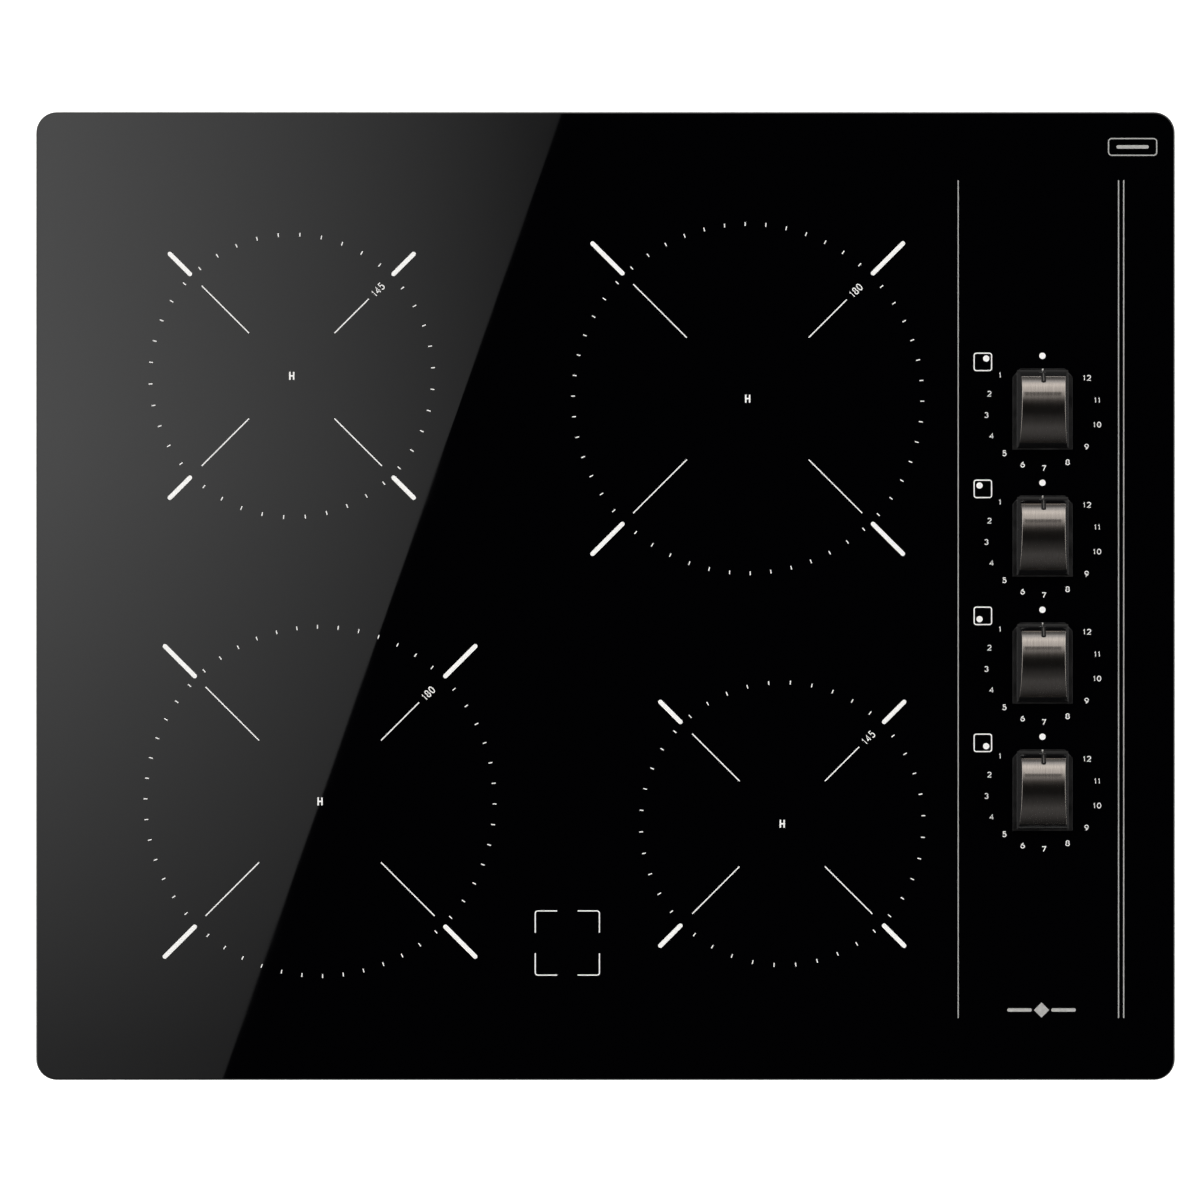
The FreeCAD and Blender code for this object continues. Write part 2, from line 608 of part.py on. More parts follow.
def worktop_seal():
    """The foam tape under the rim of the glass, which lies on the worktop."""
    wide, deep = "(glass_width-2*seal_inset)", "(glass_deep-2*seal_inset)"
    ring("worktop_seal", "0", "seal_thick", wide, deep, "seal_wide", "glass_corner-seal_inset")


def adhesive_bead():
    """The silicone that holds the frame to the glass."""
    wide, deep = "(frame_width-frame_flange+bead_wide)", "(frame_deep-frame_flange+bead_wide)"
    ring("adhesive_bead", "flange_top", "bead_thick", wide, deep, "bead_wide", "frame_corner")


def side_holes(body, radius):
    """Screw holes through all four side walls."""
    across = new_sketch(body, "XZ_Plane")
    for side in ("-", "+"):
        circle(across, f"0{side}(frame_width/2-front_screw_inset)", "0-screw_drop", radius)
    cut(body, across, both=True)
    along = new_sketch(body, "YZ_Plane")
    for side in ("-", "+"):
        circle(along, f"0{side}(frame_deep/2-side_screw_inset)", "0-screw_drop", radius)
    cut(body, along, both=True)


def support_frame():
    """The steel angle frame: a flange glued under the glass and legs that the tray is screwed to."""
    body = new_body("support_frame")
    foot = "(flange_top-frame_leg)"
    pad(body, rectangle(new_sketch(body, offset=foot), "0", "0", "frame_width", "frame_deep"), "frame_leg")
    round_edges(body, "frame_corner", upright)
    inside = new_sketch(body, offset=foot)
    rectangle(inside, "0", "0", "frame_width-2*frame_sheet", "frame_deep-2*frame_sheet")
    cut(body, inside, "frame_leg-frame_sheet", flip=True)
    window = new_sketch(body, offset="flange_top")
    cut(body, rectangle(window, "0", "0", "frame_width-2*frame_flange", "frame_deep-2*frame_flange"))
    side_holes(body, "screw_radius+screw_gap")


def boss_places():
    """The six places of the pressed bosses that carry the power board."""
    columns = ("board_left+boss_inset", "(board_left+board_right)/2", "board_right-boss_inset")
    rows = ("board_front+boss_inset", "board_rear-boss_inset")
    return [(x, y) for x in columns for y in rows]


def bottom_tray():
    """The folded steel tray: vent slots, ribs, bosses for the power board, door and cable openings."""
    body = new_body("bottom_tray")
    high = "(tray_depth-tray_top)"
    pad(body, rectangle(new_sketch(body, offset="0-tray_depth"), "0", "0", "tray_width", "tray_deep"), high)
    round_edges(body, "frame_corner+tray_gap+tray_sheet", upright)
    round_edges(body, "tray_bend", level_at("0-tray_depth"))
    inside = new_sketch(body, offset="0-tray_top")
    rectangle(inside, "0", "0", "tray_width-2*tray_sheet", "tray_deep-2*tray_sheet")
    cut(body, inside, f"{high}-tray_sheet")
    bosses = new_sketch(body, offset="tray_floor")
    for x, y in boss_places():
        circle(bosses, x, y, "boss_radius")
    pad(body, bosses, "boss_high")
    dimples = new_sketch(body, offset="0-tray_depth")
    for x, y in boss_places():
        circle(dimples, x, y, "boss_radius-tray_sheet")
    cut(body, dimples, "boss_high", flip=True)
    ribs(body)
    door = new_sketch(body, offset="tray_floor")
    cut(body, rectangle(door, "terminal_x", "terminal_y", "door_wide", "door_long"), "tray_sheet+overrun")
    inlet = new_sketch(body, "XZ_Plane", "0-tray_deep/2")
    circle(inlet, "terminal_x", "inlet_z", "inlet_radius+inlet_wall")
    cut(body, inlet, "tray_sheet+overrun", flip=True)
    side_holes(body, "screw_radius+screw_gap")
    vents(body)
    return body


def ribs(body):
    """Long shallow ribs pressed up into the tray floor under the power board."""
    x, y = "board_left+rib_side", "(board_front+board_rear)/2"
    long = "board_rear-board_front-2*rib_end_gap"
    hollow = slot(new_sketch(body, offset="0-tray_depth"), x, y, long, "rib_wide")
    row_of(body, cut(body, hollow, "rib_deep", flip=True), hollow, "H_Axis", "rib_pitch", "rib_count")
    ridge = slot(new_sketch(body, offset="tray_floor"), x, y, long, "rib_wide")
    row_of(body, pad(body, ridge, "rib_deep"), ridge, "H_Axis", "rib_pitch", "rib_count")


def vents(body):
    """Air slots: intake under the fan, outlets in the front wall, and a short row in the left wall."""
    first_x = "fan_x-vent_pitch*(vent_count-1)/2"
    intake = new_sketch(body, offset="tray_floor")
    slot(intake, first_x, "fan_y", "fan_size-2*vent_end_gap", "vent_wide")
    row_of(body, cut(body, intake, "tray_sheet+overrun"), intake, "H_Axis", "vent_pitch", "vent_count")
    middle = "(0-tray_depth-screw_drop-screw_head_radius)/2"
    first_x = "0-front_vent_pitch*(front_vent_count-1)/2"
    front = new_sketch(body, "XZ_Plane", "tray_deep/2")
    slot(front, first_x, middle, "front_vent_high", "vent_wide")
    outlet = cut(body, front, "tray_sheet+overrun")
    row_of(body, outlet, front, "H_Axis", "front_vent_pitch", "front_vent_count")
    first_y = "0-front_vent_pitch*(side_vent_count-1)/2"
    left = new_sketch(body, "YZ_Plane", "0-tray_width/2")
    slot(left, first_y, middle, "front_vent_high", "vent_wide")
    side = cut(body, left, "tray_sheet+overrun", flip=True)
    row_of(body, side, left, "H_Axis", "front_vent_pitch", "side_vent_count")


def lying_cylinder(name, x, y, z, radius, long, way):
    """A Part cylinder from x, y, z along way, which is +x, -x, +y or -y."""
    piece = cylinder(name, x, y, z, radius, long)
    turns = {"+x": (Vector(0, 1, 0), 90), "-x": (Vector(0, 1, 0), -90),
             "+y": (Vector(1, 0, 0), -90), "-y": (Vector(1, 0, 0), 90)}
    piece.Placement.Rotation = Rotation(*turns[way])
    return piece


def side_screws():
    """Eight sheet screws that hold the tray to the frame legs, heads outside."""
    places = []
    for along in ("-", "+"):
        x = f"0{along}(frame_width/2-front_screw_inset)"
        places += [(x, "tray_deep/2", "+y"), (x, "0-tray_deep/2", "-y")]
        y = f"0{along}(frame_deep/2-side_screw_inset)"
        places += [("tray_width/2", y, "+x"), ("0-tray_width/2", y, "-x")]
    back = {"+x": "-x", "-x": "+x", "+y": "-y", "-y": "+y"}
    screws = []
    for x, y, way in places:
        head = lying_cylinder("screw_head", x, y, "0-screw_drop", "screw_head_radius", "screw_head_high", way)
        shank = lying_cylinder("screw_shank", x, y, "0-screw_drop", "screw_radius", "screw_long", back[way])
        screw = doc.addObject("Part::Fuse", "side_screw")
        screw.Base = head
        screw.Tool = shank
        screws.append(screw)
    group("side_screws", screws)


def fixing_springs():
    """Four bent leaf springs on the tray's sides that hold the cooktop in its cut-out."""
    wall, thick, reach = "tray_width/2", "spring_clip_thick", "spring_clip_reach"
    top, bend = "0-spring_clip_top", "0-spring_clip_top-spring_clip_bend"
    belly, foot = "0-spring_clip_top-spring_clip_high/2", "0-spring_clip_top-spring_clip_high"
    outline = [("0", top), (thick, top), (thick, bend), (reach, belly), (thick, foot), ("0", foot),
               (f"{reach}-spring_clip_slant", belly), ("0", f"{bend}-{thick}")]
    springs = []
    for side in ("+", "-"):
        for row in ("+", "-"):
            body = new_body(f"fixing_spring_{len(springs) + 1}")
            sketch = new_sketch(body, "XZ_Plane", f"0{row}(frame_deep/2-spring_clip_inset)")
            polygon(sketch, [(f"0{side}({wall}+{x})", z) for x, z in outline])
            pad(body, sketch, "spring_clip_wide", both=True)
            springs.append(body)
    group("fixing_springs", springs)


# ---------------------------------------------------------------------------------------------------
# Coils and their carriers
# ---------------------------------------------------------------------------------------------------
def former_radius(zone):
    """The outer radius of a zone's coil former, as a formula."""
    return f"({ZONES[zone]}_radius-former_inset)"


def mica_disc(zone):
    """The mica sheet between a coil and the glass, with a hole for the sensor."""
    body = new_body(f"mica_disc_{zone}")
    outline = new_sketch(body, offset="coil_top")
    circle(outline, "0", "0", f"{ZONES[zone]}_radius+mica_past")
    circle(outline, "0", "0", "former_hole_radius")
    pad(body, outline, "mica_thick")
    move(body, f"{zone}_x", f"{zone}_y")


def coil_winding(zone):
    """One flat spiral of stranded wire: half circles about two centres, each half a pitch larger."""
    wire, gap = value("litz_radius"), value("litz_gap")
    pitch = 2 * wire + gap
    inner = value("coil_hole_radius") + wire
    outer = value(former_radius(zone)) - value("coil_rim") - wire
    halves = int(2 * (outer - inner) / pitch)
    middle = value("coil_top") - wire
    edges = []
    start = inner
    for half in range(halves):
        side = 1 if half % 2 == 0 else -1
        centre = 0 if half % 2 == 0 else -pitch / 2
        radius = inner + half * pitch / 2
        first = Vector(centre + side * radius, 0, middle)
        top = Vector(centre, side * radius, middle)
        last = Vector(centre - side * radius, 0, middle)
        edges.append(Part.Arc(first, top, last).toShape())
    path = Part.Wire(edges)
    disc = Part.Face(Part.Wire(Part.makeCircle(wire, Vector(inner, 0, middle), Vector(0, 1, 0))))
    solid = path.makePipeShell([disc.OuterWire], True, True)
    coil = doc.addObject("Part::Feature", f"coil_winding_{zone}")
    coil.Label = f"coil_winding_{zone}"
    coil.Shape = solid
    move(coil, f"{zone}_x", f"{zone}_y")


def coil_former(zone):
    """The moulded disc that a winding lies on, with a raised rim and eight windows for cooling air."""
    body = new_body(f"coil_former_{zone}")
    radius = former_radius(zone)
    floor = new_sketch(body, offset="ferrite_top")
    circle(floor, "0", "0", radius)
    circle(floor, "0", "0", "former_hole_radius")
    circle(floor, "coil_hole_radius-lead_inset", "0", "lead_hole_radius")
    pad(body, floor, "former_thick")
    rim = new_sketch(body, offset="former_top")
    circle(rim, "0", "0", radius)
    circle(rim, "0", "0", f"{radius}-former_wall")
    pad(body, rim, "2*litz_radius")
    window = new_sketch(body, offset="former_top")
    long = f"{radius}-coil_hole_radius-3*coil_rim"
    slot(window, "0", f"coil_hole_radius+coil_rim+({long})/2", long, "window_wide")
    ring_of(body, cut(body, window, "former_thick"), window, "window_count")
    move(body, f"{zone}_x", f"{zone}_y")


def ferrite_bars():
    """The ferrite bars under each former, set between its windows, that close the field below the coil."""
    bars = []
    count = int(value("window_count"))
    for zone in ZONES:
        inner, outer = "(coil_hole_radius+coil_rim)", f"({former_radius(zone)}-coil_rim)"
        for index in range(count):
            angle = (index + 0.5) * 360 / count
            along, across = math.cos(math.radians(angle)), math.sin(math.radians(angle))
            bar = doc.addObject("Part::Box", "ferrite_bar")
            bind(bar, "Length", f"{outer}-{inner}")
            bind(bar, "Width", "ferrite_wide")
            bind(bar, "Height", "ferrite_thick")
            bar.Placement.Rotation = Rotation(Vector(0, 0, 1), angle)
            move(bar, f"{zone}_x+{inner}*({along:.6f})+ferrite_wide/2*({across:.6f})",
                 f"{zone}_y+{inner}*({across:.6f})-ferrite_wide/2*({along:.6f})", "carrier_top")
            bars.append(bar)
    group("ferrite_bars", bars)


def coil_carrier(side):
    """The aluminium plate that carries the two coils of one side and screens what lies below."""
    body = new_body(f"coil_carrier_{side}")
    left, right = f"{side}_carrier_left", f"{side}_carrier_right"
    plate = new_sketch(body, offset="carrier_under")
    polygon(plate, [(left, "carrier_front"), (right, "carrier_front"),
                    (right, "carrier_rear"), (left, "carrier_rear")])
    pad(body, plate, "carrier_thick")
    round_edges(body, "carrier_corner", upright)
    holes = new_sketch(body, offset="carrier_top")
    for zone in ZONES:
        if zone.endswith(side):
            circle(holes, f"{zone}_x+coil_hole_radius-lead_inset", f"{zone}_y", "lead_hole_radius")
    cut(body, holes)


def spring_places():
    """The eight places of the carrier springs. The rear ones stand just in front of the terminal box."""
    rows = ("carrier_front+spring_inset", "spring_rear_y")
    places = []
    for side in ("left", "right"):
        columns = (f"{side}_carrier_left+spring_inset", f"{side}_carrier_right-spring_inset")
        places += [(x, y) for x in columns for y in rows]
    return places


def carrier_springs():
    """Eight steel coil springs that press the carriers and their coils up against the glass.

    The wire's round section stands square to the helix, which climbs one pitch in each turn.
    """
    low = "(tray_floor+spring_wire+spring_gap)"
    springs = []
    for x, y in spring_places():
        line = doc.addObject("Part::Helix", "spring_line")
        bind(line, "Pitch", "spring_pitch")
        bind(line, "Radius", "spring_radius")
        bind(line, "Height", f"carrier_under-{low}-spring_wire-spring_gap")
        line.SegmentLength = 1
        line.Style = "New style"
        move(line, x, y, low)
        section = doc.addObject("Part::Circle", "spring_section")
        bind(section, "Radius", "spring_wire")
        section.Placement.Rotation = Rotation(Vector(1, 0, 0), 90)
        bind(section, "Placement.Rotation.Angle", "90deg+atan(spring_pitch/(2*pi*spring_radius))")
        move(section, f"{x}+spring_radius", y, low)
        spring = doc.addObject("Part::Sweep", "carrier_spring")
        spring.Sections = [section]
        spring.Spine = (line, [])
        spring.Solid = True
        spring.Frenet = True
        springs.append(spring)
    group("carrier_springs", springs)


def temperature_sensors():
    """Four sensors that stand on the carriers and reach up through the coils to the glass."""
    sensors = []
    for zone in ZONES:
        x, y, high = f"{zone}_x", f"{zone}_y", "glass_under-sensor_gap-carrier_top"
        foot = cylinder("sensor_foot", x, y, "carrier_top", "sensor_foot_radius", "ferrite_thick")
        stem = cylinder("sensor_stem", x, y, "carrier_top", "sensor_radius", high)
        sensor = doc.addObject("Part::Fuse", "temperature_sensor")
        sensor.Base = foot
        sensor.Tool = stem
        sensors.append(sensor)
    group("temperature_sensors", sensors)


# ---------------------------------------------------------------------------------------------------
# Power electronics and cooling
# ---------------------------------------------------------------------------------------------------
def power_board():
    """The power board, on the bosses of the tray."""
    body = new_body("power_board")
    corners = [("board_left", "board_front"), ("board_right", "board_front"), ("board_right", "board_rear"),
               ("board_left", "board_rear")]
    pad(body, polygon(new_sketch(body, offset="board_under"), corners), "board_thick")
    round_edges(body, "board_corner", upright)
    holes = new_sketch(body, offset="board_top")
    for x, y in boss_places():
        circle(holes, x, y, "screw_radius")
    cut(body, holes)


def heat_sink():
    """The extruded aluminium heat sink for the power transistors: a base and a row of fins."""
    body = new_body("heat_sink")
    middle, long = "(board_front+board_rear)/2", "board_rear-board_front-2*sink_end_gap"
    base = rectangle(new_sketch(body, offset="board_top"), "sink_x", middle, "sink_wide", long)
    pad(body, base, "sink_base")
    fin = new_sketch(body, offset="board_top+sink_base")
    rectangle(fin, "sink_x-sink_wide/2+fin_thick/2", middle, "fin_thick", long)
    fins = pad(body, fin, "sink_high-sink_base")
    row_of(body, fins, fin, "H_Axis", "(sink_wide-fin_thick)/(fin_count-1)", "fin_count")


def board_parts():
    """The large parts on the power board: film capacitors, electrolytics, ring chokes and a relay row."""
    pieces = []
    for column in range(2):
        for line in range(3):
            x = f"board_left+capacitor_side+{column}*capacitor_column"
            y = f"board_front+capacitor_front+{line}*capacitor_row"
            size = ("capacitor_wide", "capacitor_deep", "capacitor_high")
            pieces.append(box("film_capacitor", x, y, "board_top", *size))
    for line in range(4):
        x, y = "board_left+can_side", f"board_front+can_front+{line}*can_row"
        pieces.append(cylinder("electrolytic", x, y, "board_top", "can_radius", "can_high"))
        x, y = "board_left+relay_side", f"board_front+relay_front+{line}*relay_row"
        pieces.append(box("relay", x, y, "board_top", "relay_wide", "relay_deep", "relay_high"))
    for line in range(2):
        choke = doc.addObject("Part::Torus", "ring_choke")
        bind(choke, "Radius1", "choke_ring")
        bind(choke, "Radius2", "choke_round")
        x, y = "board_left+choke_side", f"board_front+choke_front+{line}*choke_row"
        move(choke, x, y, "board_top+choke_round")
        pieces.append(choke)
    group("board_parts", pieces)


def fan_housing():
    """The square fan housing: a round duct, a motor seat on four arms and the pin that the rotor turns on."""
    body = new_body("fan_housing")
    foot, top = "tray_floor", "(tray_floor+fan_high)"
    pad(body, rectangle(new_sketch(body, offset=foot), "0", "0", "fan_size", "fan_size"), "fan_high")
    round_edges(body, "fan_corner", upright)
    cut(body, circle(new_sketch(body, offset=top), "0", "0", "fan_duct_radius"))
    seat = circle(new_sketch(body, offset=foot), "0", "0", "fan_hub_radius")
    pad(body, seat, "fan_seat_thick")
    arm, long = new_sketch(body, offset=foot), "fan_duct_radius-fan_hub_radius+2*fan_arm_root"
    rectangle(arm, "(fan_duct_radius+fan_hub_radius)/2", "0", long, "fan_arm_wide")
    ring_of(body, pad(body, arm, "fan_seat_thick"), arm, "4")
    pin = circle(new_sketch(body, offset=f"{foot}+fan_seat_thick"), "0", "0", "fan_pin_radius")
    pad(body, pin, "fan_pin_high")
    corner = new_sketch(body, offset=top)
    circle(corner, "fan_size/2-fan_screw_inset", "fan_size/2-fan_screw_inset", "screw_radius")
    ring_of(body, cut(body, corner), corner, "4")
    move(body, "fan_x", "fan_y")


def fan_rotor():
    """The rotor: a hub on the housing's pin and seven slanted blades."""
    body = new_body("fan_rotor")
    foot, tip = "(tray_floor+fan_seat_thick+rotor_gap)", "fan_duct_radius-fan_tip_gap"
    hub = new_sketch(body, offset=foot)
    circle(hub, "0", "0", "fan_hub_radius")
    pad(body, hub, "rotor_high")
    blade = new_sketch(body, "YZ_Plane", "fan_hub_radius-fan_arm_root")
    low, up = f"{foot}+fan_blade_inset", f"{foot}+rotor_high-fan_blade_inset"
    half, lean = "fan_blade_thick", "fan_blade_lean"
    polygon(blade, [(f"0-{lean}-{half}", low), (f"{half}-{lean}", low),
                    (f"{lean}+{half}", up), (f"{lean}-{half}", up)])
    vane = pad(body, blade, f"{tip}-fan_hub_radius+fan_arm_root")
    pattern = body.newObject("PartDesign::PolarPattern", "fan_blade_ring")
    pattern.Originals = [vane]
    axis = next(item for item in body.Origin.OriginFeatures if item.Role == "Z_Axis")
    pattern.Axis = (axis, [""])
    pattern.Angle = 360
    bind(pattern, "Occurrences", "fan_blades")
    body.Tip = pattern
    doc.recompute()
    trim = new_sketch(body, offset=f"{foot}+rotor_high")
    circle(trim, "0", "0", "fan_size")
    circle(trim, "0", "0", tip)
    cut(body, trim)
    bore = circle(new_sketch(body, offset=foot), "0", "0", "fan_pin_radius+running_gap")
    cut(body, bore, "fan_pin_high", flip=True)
    move(body, "fan_x", "fan_y")


def lead(corners, radius):
    """A sleeved lead: straight runs through the corners with a tangent arc at each turn."""
    points = [Vector(value(x), value(y), value(z)) for x, y, z in corners]
    edges, start = [], points[0]
    for before, corner, after in zip(points, points[1:], points[2:]):
        back, ahead = (before - corner), (after - corner)
        reach = 0.45 * min(back.Length, ahead.Length, 4 * value(radius))
        back, ahead = back.normalize(), ahead.normalize()
        half_turn = back.getAngle(ahead) / 2
        bend = reach * math.tan(half_turn)
        bisector = (back + ahead).normalize()
        middle = corner + bisector * (math.hypot(reach, bend) - bend)
        edges.append(Part.LineSegment(start, corner + back * reach).toShape())
        edges.append(Part.Arc(corner + back * reach, middle, corner + ahead * reach).toShape())
        start = corner + ahead * reach
    edges.append(Part.LineSegment(start, points[-1]).toShape())
    section = Part.Wire(Part.makeCircle(value(radius), points[0], points[1] - points[0]))
    piece = doc.addObject("Part::Feature", "lead")
    piece.Shape = Part.Wire(edges).makePipeShell([section], True, True)
    return piece


def wiring():
    """The sleeved leads: one pair to each coil, and those of the fan, the controls and the mains."""
    feet = {"rear_left": "board_rear-foot_rear_left", "rear_right": "board_rear-foot_rear_right",
            "front_right": "board_front+foot_front_right", "front_left": "board_front+foot_front_left"}
    leads = []
    for zone, foot in feet.items():
        x, y = f"{zone}_x+coil_hole_radius-lead_inset", f"{zone}_y"
        leads.append(lead([("lead_root_x", foot, "board_top"), ("lead_root_x", foot, "lead_level"),
                           (x, y, "lead_level"), (x, y, "coil_top-lead_end_gap")], "lead_radius"))
    level, edge = "(board_top+lead_lift)", "(board_right-lead_edge_inset)"
    start = "(dial_x-control_board_wide/2+control_lead_inset)"
    leads.append(lead([(start, "dial_mid", "pot_under-board_thick"), (start, "dial_mid", level),
                       (edge, "dial_mid", level), (edge, "dial_mid", "board_top")], "lead_radius"))
    side, rear = "fan_x-fan_lead_side", "board_rear-rear_foot_inset"
    leads.append(lead([(side, "fan_y-fan_size/2", level), (side, rear, level), (side, rear, "board_top")],
                      "lead_radius"))
    foot = "sink_x-mains_sink_shift"
    leads.append(lead([("terminal_x-block_wide/2", "block_y", "mains_level"),
                       ("fan_x+fan_size/2+mains_fan_gap", "block_y", "mains_level"),
                       (foot, rear, "mains_level"), (foot, rear, "board_top")], "mains_radius"))
    group("wiring", leads)


# ---------------------------------------------------------------------------------------------------
# Terminal box at the rear right
# ---------------------------------------------------------------------------------------------------
def terminal_box():
    """The moulded box over the mains terminals, open below, with two pins that its cover turns on."""
    body = new_body("terminal_box")
    outer = new_sketch(body, offset="tray_floor")
    rectangle(outer, "terminal_x", "terminal_y", "terminal_wide", "terminal_long")
    pad(body, outer, "terminal_high")
    round_edges(body, "terminal_wall", upright)
    hollow = new_sketch(body, offset="tray_floor")
    rectangle(hollow, "terminal_x", "terminal_y", "door_wide", "door_long")
    cut(body, hollow, "terminal_high-terminal_wall", flip=True)
    for side, sign in (("left", "-"), ("right", "+")):
        pin = new_sketch(body, "YZ_Plane", f"terminal_x{sign}door_wide/2")
        circle(pin, "hinge_y", "hinge_z", "hinge_pin_radius")
        feature = body.newObject("PartDesign::Pad", f"hinge_pin_{side}")
        feature.Profile = pin
        feature.Reversed = sign == "+"
        bind(feature, "Length", "hinge_pin_long")
        doc.recompute()
    inlet = new_sketch(body, "XZ_Plane", "0-terminal_rear")
    circle(inlet, "terminal_x", "inlet_z", "inlet_radius+inlet_wall")
    cut(body, inlet, "terminal_wall+overrun", flip=True)
    side = new_sketch(body, "YZ_Plane", "terminal_x-terminal_wide/2")
    circle(side, "block_y", "mains_level", "mains_radius+screw_gap")
    cut(body, side, "terminal_wall+overrun", flip=True)


def terminal_cover():
    """The door in the tray's underside that opens the terminal box: a panel with a barrel along one edge."""
    body = new_body("terminal_cover")
    low = "(cover_recess-tray_depth)"
    near, far = "hinge_y", "(terminal_y+door_long/2-cover_gap)"
    panel = new_sketch(body, "YZ_Plane", "terminal_x")
    polygon(panel, [(near, low), (far, low), (far, f"{low}+cover_thick"), (near, f"{low}+cover_thick")])
    pad(body, panel, "door_wide-2*cover_gap", both=True)
    barrel = circle(new_sketch(body, "YZ_Plane", "terminal_x"), "hinge_y", "hinge_z", "hinge_radius")
    pad(body, barrel, "door_wide-2*cover_gap", both=True)
    for sign, flip in (("-", True), ("+", False)):
        bore = new_sketch(body, "YZ_Plane", f"terminal_x{sign}(door_wide/2-hinge_pin_long-cover_gap)")
        circle(bore, "hinge_y", "hinge_z", "hinge_pin_radius+running_gap")
        cut(body, bore, "hinge_pin_long+overrun", flip=sign == "+")
    grip = new_sketch(body, offset=low)
    rectangle(grip, "terminal_x", f"{far}-finger_inset", "finger_wide", "finger_long")
    cut(body, grip, "finger_deep", flip=True)


def terminal_block():
    """The five-way mains terminal block, under the roof of its box, with its clamp screws."""
    body = new_body("terminal_block")
    top = "(terminal_top-terminal_wall)"
    blank = new_sketch(body, offset=f"{top}-block_high")
    rectangle(blank, "terminal_x", "block_y", "block_wide", "block_long")
    pad(body, blank, "block_high")
    pitch = "(block_wide/block_ways)"
    first = f"terminal_x-{pitch}*(block_ways-1)/2"
    mouth = new_sketch(body, "XZ_Plane", "0-block_y-block_long/2")
    circle(mouth, first, f"{top}-block_high/2", "way_radius")
    row_of(body, cut(body, mouth, "way_deep", flip=True), mouth, "H_Axis", pitch, "block_ways")
    well = new_sketch(body, offset=f"{top}-block_high")
    circle(well, first, "block_y-block_screw_shift", "block_screw_radius")
    row_of(body, cut(body, well, "block_screw_deep", flip=True), well, "H_Axis", pitch, "block_ways")


def inlet_bush():
    """The moulded bush that lines the mains cable's way through the tray and the terminal box."""
    body = new_body("inlet_bush")
    outside, flange_end = "(tray_deep/2)", "0-tray_deep/2-inlet_flange"
    tube = new_sketch(body, "XZ_Plane", f"0-{outside}")
    circle(tube, "terminal_x", "inlet_z", "inlet_radius+inlet_wall-inlet_gap")
    pad(body, tube, f"{outside}-terminal_rear+terminal_wall")
    flange = new_sketch(body, "XZ_Plane", flange_end)
    circle(flange, "terminal_x", "inlet_z", "inlet_radius+2*inlet_wall")
    pad(body, flange, "inlet_flange")
    bore = circle(new_sketch(body, "XZ_Plane", flange_end), "terminal_x", "inlet_z", "inlet_radius")
    cut(body, bore, flip=True)


# ---------------------------------------------------------------------------------------------------
# Controls
# ---------------------------------------------------------------------------------------------------
def control_bracket():
    """The steel channel that carries the four potentiometers between the front and rear frame legs."""
    body = new_body("control_bracket")
    low, reach, thick = "0-bracket_drop", "(frame_deep/2-bracket_gap)", "bracket_sheet"
    section = new_sketch(body, "YZ_Plane", "dial_x")
    polygon(section, [(f"0-{reach}", low), (reach, low), (reach, "flange_under"),
                      (f"{reach}-{thick}", "flange_under"), (f"{reach}-{thick}", f"{low}+{thick}"),
                      (f"{thick}-{reach}", f"{low}+{thick}"), (f"{thick}-{reach}", "flange_under"),
                      (f"0-{reach}", "flange_under")])
    pad(body, section, "bracket_wide", both=True)
    holes = new_sketch(body, offset=f"{low}+{thick}")
    for place in CONTROLS.values():
        circle(holes, "dial_x", dial_y(place), "pot_neck_radius+neck_gap")
    cut(body, holes)


def potentiometers():
    """The four rotary controls under the bracket, each a square case with a bored neck."""
    cases = []
    for place in CONTROLS.values():
        y = dial_y(place)
        case = box("control_case", "dial_x", y, "pot_under", "pot_size", "pot_size", "pot_high")
        neck = cylinder("control_neck", "dial_x", y, "0-bracket_drop", "pot_neck_radius", "pot_neck_high")
        whole = doc.addObject("Part::Fuse", "control_blank")
        whole.Base = case
        whole.Tool = neck
        bore = cylinder("control_bore", "dial_x", y, "pot_under+pot_floor", "shaft_radius+running_gap",
                        "pot_high+pot_neck_high")
        bored = doc.addObject("Part::Cut", "potentiometer")
        bored.Base = whole
        bored.Tool = bore
        cases.append(bored)
    group("potentiometers", cases)


def control_board():
    """The control board under the four potentiometers."""
    body = new_body("control_board")
    outline = new_sketch(body, offset="pot_under-board_thick")
    rectangle(outline, "dial_x", "dial_mid", "control_board_wide", "3*dial_pitch+2*control_board_end")
    pad(body, outline, "board_thick")
    round_edges(body, "board_corner", upright)


def shaft_seals():
    """Rubber rings between the potentiometer necks and the glass, with a lip up through each hole."""
    seals = []
    for place in CONTROLS.values():
        y, lip_high = dial_y(place), "glass_top-neck_top+knob_gap/2"
        foot = cylinder("seal_foot", "dial_x", y, "neck_top", "shaft_seal_radius", "glass_under-neck_top")
        lip = cylinder("seal_lip", "dial_x", y, "neck_top", "shaft_hole_radius-lip_gap", lip_high)
        blank = doc.addObject("Part::Fuse", "seal_blank")
        blank.Base = foot
        blank.Tool = lip
        radius, high = "shaft_radius+shaft_seal_gap", f"{lip_high}+2*overrun"
        bore = cylinder("seal_bore", "dial_x", y, "neck_top-overrun", radius, high)
        seal = doc.addObject("Part::Cut", "shaft_seal")
        seal.Base = blank
        seal.Tool = bore
        seals.append(seal)
    group("shaft_seals", seals)


def indicator_board():
    """The small board for the residual heat lamps, on two posts of the right coil carrier."""
    body = new_body("indicator_board")
    foot, under = "carrier_top", "(0-lamp_board_drop)"
    outline = new_sketch(body, offset=under)
    rectangle(outline, "lamp_x", "lamp_y", "lamp_board_size", "lamp_board_size")
    pad(body, outline, "board_thick")
    posts = new_sketch(body, offset=foot)
    for side in ("-", "+"):
        circle(posts, "lamp_x+lamp_board_size/4", f"lamp_y{side}lamp_board_size/3", "post_radius")
    pad(body, posts, f"{under}-{foot}")


